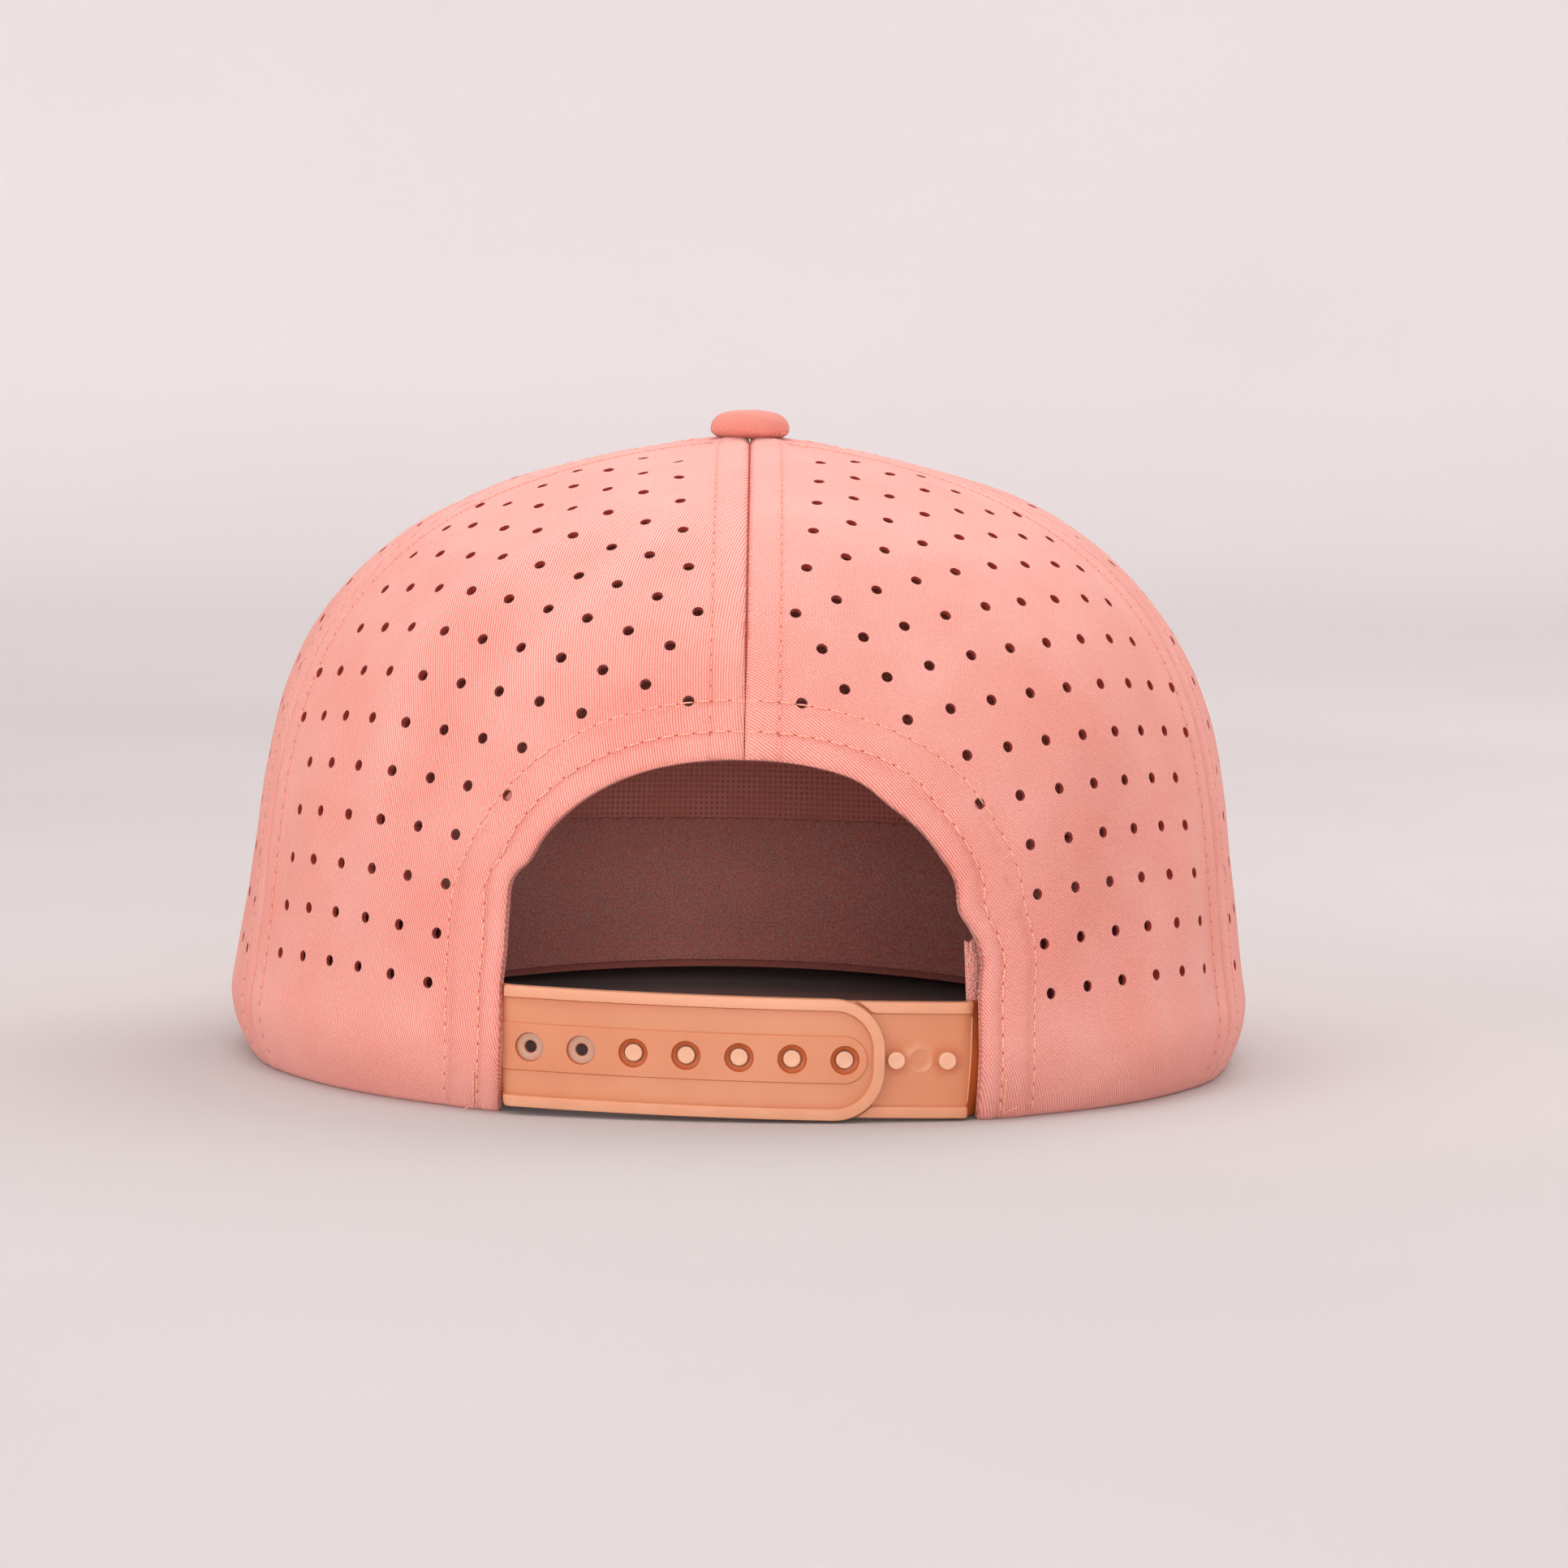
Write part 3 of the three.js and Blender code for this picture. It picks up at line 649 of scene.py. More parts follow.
class Panel:
    """A crown panel between two seams, unrolled about its own middle for meshing."""

    SEAM_ROWS = (0.35, 0.8, 1.3, 2.0, 3.6, 5.1, 5.6, 6.0, 6.4, 7.0, 7.8)
    EDGE_ROWS = (0.25, 0.55, 0.95, 1.5, 2.3)

    def __init__(self, name, start, end, grain=None, arch=0):
        self.name, self.start, self.end, self.arch = name, start, end, arch
        self.grain = grain or self.middle
        self.edge = None
        self.outline = self.make_outline()

    def middle(self, s):
        return (seam_at(self.start, s) + seam_at(self.end, s)) / 2

    def flat(self, azimuth, s):
        return np.stack([(azimuth - self.middle(s)) * radius_at(s), s], 1)

    def unflat(self, points):
        s = points[:, 1]
        return points[:, 0] / radius_at(s) + self.middle(s), s

    def hem(self, first, last, offset=0.0):
        azimuth = np.linspace(first, last, 400)
        return azimuth, arc_at_height(hem_height(azimuth)) + offset

    def seam_line(self, seam, inward, low, offset=0.0):
        """A line beside a seam, from the arc length low to the top."""
        s = np.linspace(low, TOP_ARC, 500)
        return seam_at(seam, s) + inward * (SEAM_GAP + offset) / radius_at(s), s

    def corners(self):
        """Hem ends of the panel, and where its seams start up."""
        first, last = self.start[0], self.end[0]
        lows = [float(arc_at_height(hem_height(np.array(a)))) for a in (first, last)]
        if self.arch:
            azimuth, s = arch_line(self.arch)
            if self.arch > 0:
                first, lows[0] = azimuth[-1], s[0]
            else:
                last, lows[1] = azimuth[-1], s[0]
        return first, last, lows

    def make_outline(self):
        first, last, lows = self.corners()
        pieces = [self.flat(*self.hem(first, last))]
        pieces.append(self.flat(*self.seam_line(self.end, -1, lows[1])))
        pieces.append(self.flat(*self.seam_line(self.start, 1, lows[0]))[::-1])
        if self.arch:
            azimuth, s = arch_line(self.arch)
            self.edge = resample(self.flat(azimuth, s), 0.25)
            line = resample(self.flat(azimuth, s), 0.6)
            pieces.insert(3 if self.arch > 0 else 1, line if self.arch > 0 else line[::-1])
        loop = []
        for piece in pieces:
            line = resample(piece, 0.8)
            if loop and np.linalg.norm(loop[-1][-1] - line[0]) < 0.2:
                line = line[1:]
            loop.append(line)
        outline = np.concatenate(loop)
        if np.linalg.norm(outline[0] - outline[-1]) < 0.2:
            outline = outline[:-1]
        return outline

    def punches(self):
        """Places of the punched holes: a straight grid on the cloth, clear of seams and edges."""
        places = []
        for row in range(PUNCH_ROWS):
            s_row = FIRST_PUNCH_ROW + PUNCH_ROW * row
            for column in range(-PUNCH_COLUMNS, PUNCH_COLUMNS + 1):
                azimuth, s = punch_place(self.grain(s_row), column, s_row)
                if min(self.from_seams(azimuth, s)) < PUNCH_FROM_SEAM or s > TOP_ARC - 14 or s < 20:
                    continue
                place = self.flat(np.array([azimuth]), np.array([s]))
                if self.arch and distance_to(place, self.edge)[0] < PUNCH_FROM_ARCH:
                    continue
                places.append((azimuth, s))
        return places

    def from_seams(self, azimuth, s):
        """Distances from the seams on either side."""
        radius = radius_at(s)
        start, end = seam_at(self.start, s), seam_at(self.end, s)
        return (azimuth - start) * radius, (end - azimuth) * radius

    def punch_loops(self):
        angle = np.arange(20) * TURN / 20
        x, y = PUNCH_RADIUS * np.cos(angle), PUNCH_RADIUS * np.sin(angle)
        return [self.flat(azimuth + x / radius_at(s), s + y) for azimuth, s in self.punches()]

    def relief(self, azimuth, s):
        """Height over the plain surface, how far edges turn under, and tone: painted shade and
        light.
        """
        from_start, from_end = self.from_seams(azimuth, s)
        from_hem = s - arc_at_height(hem_height(azimuth))
        height = seam_relief(from_start, s) + seam_relief(from_end, s)
        # Painted shade: the tone darkens the sunken seam lines, more so up the dome, and the
        # grooves of the topstitched rows.
        pulled = lerp(0.45, 1.0, smoothstep(s, 70, 84))
        tone = -pulled * (bell(from_start, 0.25) + bell(from_end, 0.25))
        tone -= 0.3 * (bell(from_start - TOPSTITCH, 0.45) + bell(from_end - TOPSTITCH, 0.45))
        free = smoothstep(np.minimum(from_start, from_end), 3, 16) * smoothstep(from_hem, 0, 12)
        under = fold_round(from_hem, 0.8)
        if self.arch:
            from_arch = distance_to(self.flat(azimuth, s), self.edge)
            z = height_at(s)
            along = ARCH_RADIUS * np.arctan2(z, np.abs(azimuth) * radius_at(s))
            height += arch_relief(from_arch, z, along)
            free *= smoothstep(from_arch, 4, 20)
            under = np.maximum(under, fold_round(from_arch, 0.9))
            rows = sum(bell(from_arch - arch_margin(row, z), 0.45) for row in ARCH_ROWS)
            # Painted highlight on the roll just in from the opening's edge, and painted shade at
            # the very edge and along both stitched rows.
            tone += 0.1 * bell(from_arch - 1.6, 1.2) - 0.25 * bell(from_arch, 0.8) - 0.2 * rows
            # Painted highlight: the folded band pales near the top of the opening, where light
            # falls on it.
            band = 1 - smoothstep(from_arch, ARCH_ROWS[1][1], ARCH_ROWS[1][1] + 1.5)
            tone += 0.15 * band * smoothstep(z, 42, 58)
        folds = free * sum(crease(azimuth, s, *each) for each in CREASES)
        height += folds + self.drape(azimuth, s, free)
        # Painted highlight on the crests of the creases and painted shade in their hollows, and
        # painted light that pales the crown towards its top.
        tone += np.where(folds > 0, 0.6, 0.25) * folds + 0.75 * smoothstep(s, 64, 124)
        return height, under, tone

    def drape(self, azimuth, s, free):
        """Broad soft unevenness of the cloth between its seams."""
        across = azimuth * DRAPE_RADIUS
        broad = waves(across, s, (34, 47, 61, 83), 3)
        small = waves(across, s, (9, 13, 17), 11)
        return free * (0.42 * broad + 0.06 * small)

    def extra_rows(self):
        first, last, lows = self.corners()
        rows = []
        for offset in self.SEAM_ROWS:
            rows.append(self.flat(*self.seam_line(self.start, 1, lows[0], offset)))
            rows.append(self.flat(*self.seam_line(self.end, -1, lows[1], offset)))
        for offset in self.EDGE_ROWS:
            rows.append(self.flat(*self.hem(first, last, offset)))
        if self.arch:
            margins = [(offset, offset) for offset in self.EDGE_ROWS]
            margins += [(low + step, high + step)
                        for low, high in ARCH_ROWS for step in (-1, -0.5, 0, 0.5, 1)]
            rows += [self.flat(*arch_line(self.arch, margin)) for margin in margins]
        return [resample(row, 0.85) for row in rows]

    def build(self, material, punched):
        holes = self.punch_loops() if punched else []
        points, corners = fill_outline(self.outline, self.extra_rows(), holes)
        azimuth, s = self.unflat(points)
        height, under, tone = self.relief(azimuth, s)
        # Painted shade: the back face of the cloth is darkened, and the walls of the punched holes
        # far more, so that the holes look dark.
        back_face_shade, lip_tone = np.full(tone.shape, -0.5), tone.copy()
        if holes:
            punched_rim = distance_to(points, np.concatenate(holes)) < 0.01
            back_face_shade[punched_rim] = lip_tone[punched_rim] = -1.8
        front = under * 0.5 - height
        back = np.maximum(PANEL_THICKNESS - 0.3 * height - under * 0.25, front + 0.2)
        skin = (crown_points(azimuth, s, front), crown_points(azimuth, s, back))
        cloth = np.stack(grain_coordinates(azimuth, s, self.grain(s)), 1)
        places, faces, owners = lipped_sandwich(*skin, corners[:, ::-1], 0.14)
        tone = np.concatenate([tone, back_face_shade, lip_tone[owners]])
        cloth = np.concatenate([cloth, cloth, cloth[owners]])
        piece = make_object(f"{self.name}_cloth", places, faces, cloth, tone)
        return finish_piece(piece, material, [self.name])

    def stitch_seams(self, thread):
        """The topstitched rows inside both seams."""
        _, _, lows = self.corners()
        for seam, inward, low in ((self.start, 1, lows[0]), (self.end, -1, lows[1])):
            s = np.linspace(low + 1.5, arc_at_radius(9.5), 400)
            azimuth = seam_at(seam, s) + inward * TOPSTITCH / radius_at(s)
            height, _, _ = self.relief(azimuth, s)
            thread.crown_row(azimuth, s, -height - 0.02, radius=FINE_RADIUS)


def mirror(seam):
    return (-seam[0], -seam[1])


def make_panels():
    middle = (0.0, 0.0)
    round_front = (TURN - FRONT_SEAM[0], TURN - FRONT_SEAM[1])
    return [
        Panel("back_panel_left", middle, BACK_SEAM, grain_azimuth, arch=1),
        Panel("back_panel_right", mirror(BACK_SEAM), middle, lambda s: -grain_azimuth(s), arch=-1),
        Panel("side_panel_left", BACK_SEAM, FRONT_SEAM),
        Panel("side_panel_right", mirror(FRONT_SEAM), mirror(BACK_SEAM)),
        Panel("front_panel", FRONT_SEAM, round_front),
    ]


def stitch_arch(panel, thread):
    """Two rows round half of the opening, a bar tack at the hem and a loose thread end."""
    for row, radius in zip(ARCH_ROWS, (THREAD_RADIUS, FINE_RADIUS)):
        azimuth, s = arch_line(panel.arch, row)
        keep = s > 0.8
        azimuth, s = azimuth[keep], s[keep]
        height, _, _ = panel.relief(azimuth, s)
        thread.crown_row(azimuth, s, -height - 0.04, radius=radius)
    azimuth, s = arch_line(panel.arch, (ARCH_ROWS[0][0] + 0.5, ARCH_ROWS[0][1]))
    near_hem = (s > 0.6) & (s < 9)
    azimuth, s = azimuth[near_hem], s[near_hem]
    height, _, _ = panel.relief(azimuth, s)
    thread.crown_row(azimuth, s, -height - 0.16, pitch=1.6, gap=-0.5)
    foot = crown_points(azimuth[-1:], s[-1:], -0.5)[0]
    outward = crown_normals(azimuth[-1:], s[-1:])[0]
    thread.tail(foot, outward * 0.5 + (0.5 * panel.arch, 0, 0.15), 3.2, 5 + panel.arch)


def pit_seams(panels, marks):
    """The drawn-in line of every seam: dashes of painted shade down in the gap between its panels.
    """
    for panel in panels:
        _, _, lows = panel.corners()
        s = np.linspace(lows[1] + 1, arc_at_radius(5.5), 500)
        marks.pits(seam_at(panel.end, s), s, 0.42, 0.72, 0.36, 0.17)


# ---- Linings ----

TAPE_WIDTH = 12
TAPE_ROW = 4.6                   # from a tape's middle to the stitched row beside it
TAPE_FOLD = 0.4
BUCKRAM_FROM_SEAM = 6.6
SWEATBAND_DEPTH = 3.15           # from the crown's outer face to the band's middle
SWEATBAND_ROW = 3.2              # from the band's lower edge to the row that holds it


def make_lining(name, grid, cloth, material, node, tone=None):
    """A strip inside the crown. grid holds its azimuths, arc lengths, and front and back depths."""
    azimuth, s, front, back = grid
    places, faces = grid_sandwich(crown_points(azimuth, s, front), crown_points(azimuth, s, back))
    cloth = np.stack(np.broadcast_arrays(*cloth), -1).reshape(-1, 2)
    piece = make_object(name, places, faces, np.tile(cloth, (2, 1)), tone)
    return finish_piece(piece, material, [node])


def rounded_edge(share, width, radius):
    """Turn-under of a strip at both its long edges; share runs from 0 to 1 across its width."""
    return fold_round(np.minimum(share, 1 - share) * width, radius)


def make_tape(name, seam, low_height, material):
    """A bias tape over a seam: domed over the allowance, its edges folded under."""
    s = np.linspace(arc_at_height(low_height), arc_at_radius(15), 130)[:, None]
    share = np.linspace(0, 1, 17)[None]
    across = (share - 0.5) * TAPE_WIDTH
    azimuth = seam_at(seam, s) + across / radius_at(s)
    edge = rounded_edge(share, TAPE_WIDTH, TAPE_FOLD)
    rows = bell(np.abs(across) - TAPE_ROW, 0.5)
    pucker = 0.06 * np.cos(TURN * s / STITCH_PITCH) * bell(np.abs(across) - TAPE_ROW, 1.2)
    front = 1.2 + 0.2 * edge + 0 * s
    back = 1.95 - 0.5 * edge + 0.2 * bell(across, 3.5) - 0.18 * rows + pucker
    bias = (across * 0.7 + s * 0.7, s * 0.7 - across * 0.7)
    return make_lining(f"{name}_cloth", (azimuth, s, front, back), bias, material, name)


def make_buckram(material):
    """Stiff open-weave lining of the front panel."""
    share = np.linspace(0, 1, 101)[None]
    side = 2 * share - 1
    low = arc_at_height(hem_height(math.pi + side * (math.pi - FRONT_SEAM[0])) + SWEATBAND_BOTTOM)
    s = lerp(low, arc_at_radius(23), np.linspace(0, 1, 90)[:, None])
    half = math.pi - seam_at(FRONT_SEAM, s) - BUCKRAM_FROM_SEAM / radius_at(s)
    azimuth = math.pi + side * half
    ripple = 0.06 * waves(azimuth * PANEL_RADIUS, s, (11, 17, 26), 8)
    grid = (azimuth, s, 1.3 + 0 * azimuth, 1.75 + ripple)
    cloth = (-(azimuth - math.pi) * FRONT_RADIUS, s)
    return make_lining("front_buckram_mesh", grid, cloth, material, "front_buckram")


def make_facing(material):
    """The turned-in strip behind the edge of the rear opening."""
    margins = np.concatenate([np.linspace(0.15, 1.2, 6), np.linspace(1.8, FACING_WIDTH, 12)])
    rows = []
    for margin in margins:
        left, right = arch_line(1, (margin, margin)), arch_line(-1, (margin, margin))
        line = [np.concatenate([left[k][::-1], right[k][1:]]) for k in (0, 1)]
        rows.append(resample(np.stack([line[0] * PANEL_RADIUS, line[1]], 1), 1.0))
    shares = np.linspace(0, 1, min(map(len, rows)))
    grid = np.array([[np.interp(shares, np.linspace(0, 1, len(row)), row[:, k]) for k in (0, 1)]
                     for row in rows])
    azimuth, s = grid[:, 0] / PANEL_RADIUS, np.maximum(grid[:, 1], 0.3)
    turned = fold_round(margins, 0.8)[:, None]
    outer = fold_round(FACING_WIDTH - margins, 0.4)[:, None]
    front = 1.0 + 0.25 * turned + 0 * s
    back = 1.85 - 0.6 * turned - 0.6 * outer - 0.15 * bell(margins - 4.3, 0.6)[:, None]
    back = back + 0.06 * waves(azimuth * PANEL_RADIUS, s, (7, 12, 19), 21)
    grid, cloth = (azimuth, s, front, back), (-azimuth * PANEL_RADIUS, s)
    # Painted shade: the whole facing is darkened, as it lies inside the crown.
    tone = np.full(2 * back.size, -0.3)
    return make_lining("arch_facing_cloth", grid, cloth, material, "arch_facing", tone)


def make_sweatband(material):
    """A padded terry band: a soft roll at its top edge, flat at its sewn edge, rough with loops."""
    first, last = SWEATBAND_ENDS
    azimuth = np.linspace(first, last, 560)[None]
    from_end = np.minimum(azimuth - first, last - azimuth) * BAND_RADIUS
    edge = [0, 0.012, 0.03]
    share = np.concatenate([edge, np.linspace(0.06, 0.94, 26), [0.97, 0.988, 1]])[:, None]
    low = arc_at_height(hem_height(azimuth) + SWEATBAND_BOTTOM)
    s = lerp(low, arc_at_height(SWEATBAND_TOP - 4.5 * (1 - smoothstep(from_end, 0, 16))), share)
    over = sweatband_standoff(azimuth)
    width = np.sqrt(np.maximum(0.03, 1 - np.abs(2 * share - 1) ** 7))
    ends = np.sqrt(np.clip(from_end / 0.7, 0.03, 1))
    along = azimuth * BAND_RADIUS
    loops = 0.13 * waves(along, s, (1.9, 2.3, 2.9, 3.7), 31) + 0.22 * waves(along, s, (14, 23), 32)
    seam = 0.5 * bell((s - low) - SWEATBAND_ROW, 0.8)
    middle = SWEATBAND_DEPTH + over
    front = middle - 0.75 * width * ends + 0 * s
    back = middle + (0.95 * width + loops * width - seam) * ends
    s = s + 0.25 * waves(along, 0 * s, (1.3, 1.9, 2.7), 33) * smoothstep(share, 0.9, 1)
    # Painted shade: the band's face against the crown, seen through the punched holes, is darkened
    # except near its ends.
    tone = np.concatenate([-smoothstep(from_end + 0 * s, 4, 9).ravel(), np.zeros(s.size)])
    grid = (azimuth + 0 * s, s, front, back)
    piece = make_lining("sweatband_terry", grid, (-along, s), material, "sweatband", tone)
    return piece


def sweatband_standoff(azimuth):
    """How much further in the band lies near the back, where it passes over the straps."""
    from_back = np.minimum(azimuth, TURN - azimuth) / DEGREE
    return SWEATBAND_STANDOFF * (1 - smoothstep(from_back, 36, 62))


def stitch_sweatband(thread):
    """The row that holds the sweatband just above the hem, seen from inside."""
    azimuth = np.linspace(28 * DEGREE, TURN - 28 * DEGREE, 700)
    s = arc_at_height(hem_height(azimuth) + SWEATBAND_BOTTOM) + SWEATBAND_ROW
    line = crown_points(azimuth, s, SWEATBAND_DEPTH + 0.8 + sweatband_standoff(azimuth))
    thread.row(line, -crown_normals(azimuth, s))


# ---- Visor ----

def visor_places(side, forward, layer):
    """Points across the visor: side from -1 to 1, forward from 0 at the crown to 1 at the edge."""
    azimuth = side * VISOR_SPREAD
    nominal = np.stack([np.sin(azimuth), -LENGTH_RATIO * np.cos(azimuth)], -1)
    height = hem_height(math.pi + azimuth) + layer
    inner = nominal * (radius_at(arc_at_height(height)) + 0.4)[..., None]
    turn = side * math.pi / 2
    outer = np.stack([
        VISOR_HALF_WIDTH * np.sign(side) * np.abs(np.sin(turn)) ** 0.9,
        VISOR_END_Y - VISOR_LENGTH * np.abs(np.cos(turn)) ** 0.8,
    ], -1)
    floor = lerp(nominal * HEM_RADIUS, outer, forward[..., None])
    place = lerp(inner, outer, forward[..., None])
    rise = underside_at(floor[..., 0], floor[..., 1]) + layer
    return np.concatenate([place, rise[..., None]], -1)


def visor_grid(columns=190, rows=110):
    side = 2 * np.linspace(0, 1, columns)[None] - 1
    side = np.sign(side) * (1 - (1 - np.abs(side)) ** 1.25)
    forward = 1 - (1 - np.linspace(0, 1, rows)[:, None]) ** 1.3
    return np.broadcast_arrays(side, forward)


def visor_edge_distance(side, forward):
    """Distance from the outer edge, along the lines from the crown to it."""
    near = visor_places(side, 0 * forward, 0 * forward)
    far = visor_places(side, 0 * forward + 1, 0 * forward)
    length = np.linalg.norm((far - near)[..., :2], axis=-1)
    return (1 - forward) * length, length


VISOR_ROWS = tuple(3.5 + 6.5 * k for k in range(7))
VISOR_ARC = 130                  # half the length of the visor's outer edge
VISOR_DEPTH = 60                 # from the crown to the outer edge, in the middle
BOARD_DEPTH = 50


def visor_relief(distance, along):
    wave = np.cos(TURN * along / STITCH_PITCH)
    rows = sum(bell(distance - row, 0.55) for row in VISOR_ROWS)
    return -0.16 * rows * (0.8 + 0.2 * wave) + 0.04 * wave * rows


def make_visor_covers(material):
    """Two cloth covers that meet in a seam round the edge of the board."""
    side, forward = visor_grid()
    distance, _ = visor_edge_distance(side, forward)
    half = VISOR_THICKNESS / 2
    along = side * VISOR_ARC
    turn = fold_round(distance, half)
    soft = 0.1 * waves(side * VISOR_HALF_WIDTH, forward * VISOR_DEPTH, (23, 37, 51), 41)
    height = visor_relief(distance, along) + soft * smoothstep(distance, 2, 10)
    top = VISOR_THICKNESS - turn + height
    bottom = 0 * forward + turn * 0.98 + 0.1 - np.minimum(0, height) * 0.5
    # Painted shade in the seam round the visor's edge and in the grooves of its stitched rows.
    tone = -0.8 * bell(distance, 0.6) - 0.3 * sum(bell(distance - row, 0.5) for row in VISOR_ROWS)
    inside_top = np.maximum(half + 0.04, np.minimum(top - 0.12, 3.4 - turn * 0.85))
    inside_bottom = np.minimum(half - 0.04, np.maximum(bottom + 0.12, 0.8 + turn * 0.85))
    cloth = visor_places(side, forward, 0 * forward)[..., :2].reshape(-1, 2) * (-1, -1)
    cloth, tone = np.tile(cloth, (2, 1)), np.tile(tone.ravel(), 2)
    covers = {"visor_upper_cover": (top, inside_top), "visor_under_cover": (inside_bottom, bottom)}
    for name, layers in covers.items():
        places, faces = grid_sandwich(*(visor_places(side, forward, layer) for layer in layers))
        piece = make_object(f"{name}_cloth", places, faces, cloth, tone)
        finish_piece(piece, material, [name])


def make_visor_board(material):
    """The flexible board inside the visor, with rounded edges."""
    side, forward = visor_grid(121, 41)
    distance = np.minimum(forward, 1 - forward) * BOARD_DEPTH
    turn = fold_round(distance, 0.6)
    inset_side, inset_forward = 0.965 * side, 0.02 + 0.94 * forward
    places, faces = grid_sandwich(
        visor_places(inset_side, inset_forward, 3.05 - turn),
        visor_places(inset_side, inset_forward, 1.15 + turn))
    piece = make_object("visor_board_sheet", places, faces)
    finish_piece(piece, material, ["visor_board"])


def stitch_visor(thread):
    """Rows of thread on both covers, alongside the edge."""
    side = np.linspace(-0.985, 0.985, 900)
    _, length = visor_edge_distance(side, 0 * side)
    for row in VISOR_ROWS:
        keep = length > row + 1.5
        if keep.sum() < 10:
            continue
        u, forward = side[keep], 1 - row / length[keep]
        up = np.tile((0.0, 0.0, 1.0), (u.size, 1))
        thread.row(visor_places(u, forward, 0 * u + VISOR_THICKNESS - 0.1), up)
        thread.row(visor_places(u, forward, 0 * u + 0.14), -up, bow=0.12)


# ---- Snap closure ----

STRAP_MIDDLE = STRAP_BOTTOM + STRAP_HEIGHT / 2
HALF_STRAP = STRAP_HEIGHT / 2


def strap_path():
    """Plan of the straps' common surface: a flat arc to the hinge, then along inside the crown.

    Returns places along it from the middle of the back, points, and outward normals.
    """
    arc = np.arange(-PEG_TIP - 20, HINGE_PLACE, 0.1)
    hinge_x = STRAP_RADIUS * math.sin(HINGE_PLACE / STRAP_RADIUS)
    radius = float(radius_at(arc_at_height(STRAP_MIDDLE))) - HINGE_DEPTH
    start = math.asin(hinge_x / radius)
    hinge_y = LENGTH_RATIO * radius * math.cos(start)
    centre_y = hinge_y - STRAP_RADIUS * math.cos(HINGE_PLACE / STRAP_RADIUS)
    free = np.stack([STRAP_RADIUS * np.sin(arc / STRAP_RADIUS),
                     centre_y + STRAP_RADIUS * np.cos(arc / STRAP_RADIUS)], 1)
    azimuth = np.linspace(start, FLANGE_END, 200)
    sewn = np.stack([radius * np.sin(azimuth), LENGTH_RATIO * radius * np.cos(azimuth)], 1)
    steps = np.linalg.norm(np.diff(sewn, axis=0), axis=1).cumsum()
    places = np.concatenate([arc, HINGE_PLACE + np.concatenate([[0], steps])])
    even = np.arange(places[0], places[-1], 0.1)
    points = np.concatenate([free, sewn])
    points = np.stack([np.interp(even, places, points[:, k]) for k in (0, 1)], 1)
    kernel = np.hanning(33)[1:-1] / np.hanning(33)[1:-1].sum()
    padded = np.pad(points, ((15, 15), (0, 0)), mode="reflect", reflect_type="odd")
    points = np.stack([np.convolve(padded[:, k], kernel, "valid") for k in (0, 1)], 1)
    tangent = np.gradient(points, axis=0)
    tangent /= np.linalg.norm(tangent, axis=1, keepdims=True)
    return even, points, np.stack([-tangent[:, 1], tangent[:, 0]], 1)


PATH_PLACES, PATH_POINTS, PATH_NORMALS = strap_path()
FLANGE_PLACE = PATH_PLACES[-1]


def strap_points(side, place, height, level):
    """Points on a strap: place is the arc length on its own side of the back, level is outward."""
    q = side * np.asarray(place, float)
    point = np.stack([np.interp(q, PATH_PLACES, PATH_POINTS[:, k]) for k in (0, 1)], -1)
    normal = np.stack([np.interp(q, PATH_PLACES, PATH_NORMALS[:, k]) for k in (0, 1)], -1)
    tuck = radius_at(arc_at_height(height)) - radius_at(arc_at_height(STRAP_MIDDLE))
    level = level + tuck * smoothstep(q, HINGE_PLACE - 0.5, HINGE_PLACE + 4)
    flat = point + normal * np.asarray(level)[..., None]
    x = side * flat[..., 0]
    return np.stack([x, flat[..., 1], height + STRAP_TILT * x - STRAP_SAG], -1)


def strap_loop(start, tip, half, corner, inset=0.0, spacing=0.7):
    """A closed outline with a straight end at start and round corners at tip."""
    side = math.copysign(1, tip - start)
    half, corner = half - inset, max(0.05, corner - inset)
    start, tip = start + side * inset, tip - side * inset
    centre = tip - side * corner
    angle = np.linspace(90, 0, 25) * DEGREE
    curve = np.stack([centre + side * corner * np.cos(angle),
                      STRAP_MIDDLE + half - corner + corner * np.sin(angle)], 1)
    under = curve[::-1] * (1, -1) + (0, 2 * STRAP_MIDDLE)
    first, last = np.array([[start, STRAP_MIDDLE + half]]), np.array([[start, STRAP_MIDDLE - half]])
    lines = [np.concatenate([first, curve[:1]]), curve, np.stack([curve[-1], under[0]]), under,
             np.concatenate([under[-1:], last]), np.concatenate([last, first])]
    lines = [resample(line, spacing) for line in lines if np.linalg.norm(line[0] - line[-1]) > 0.05]
    return np.concatenate([line[:-1] for line in lines])


def strap_depth(place, height, start, tip, half, corner):
    """Distance inside such an outline, negative outside it."""
    side = math.copysign(1, tip - start)
    along = (place - start) * side
    dx = along - (abs(tip - start) - corner)
    dy = np.abs(height - STRAP_MIDDLE) - (half - corner)
    past = np.hypot(np.maximum(dx, 0), np.maximum(dy, 0)) + np.minimum(np.maximum(dx, dy), 0)
    return -np.maximum(past - corner, -along)


def circle(place, radius, count=28):
    angle = np.arange(count) * TURN / count
    return np.stack([place + radius * np.cos(angle), STRAP_MIDDLE + radius * np.sin(angle)], 1)


HOLE_OUTLINE = (FLANGE_PLACE, HOLE_TIP, HALF_STRAP, 8.6)
PEG_OUTLINE = (-FLANGE_PLACE, PEG_TIP, HALF_STRAP - 0.4, 7.5)
BAND_OUTLINE = (HINGE_PLACE + 1.25, HOLE_TIP + 2.9, 4.0, 4.0)
RAIL_START = HINGE_PLACE + 1.15
RAIL = 2.0
BORE_RADIUS = 2.4
OPEN_RADIUS = 1.07
FILLED_RADIUS = 1.68
PEG_RADIUS = 1.46
OPEN_HOLES = 2
FILM_TONE = -3                   # marks the film left in a hole that no peg fills


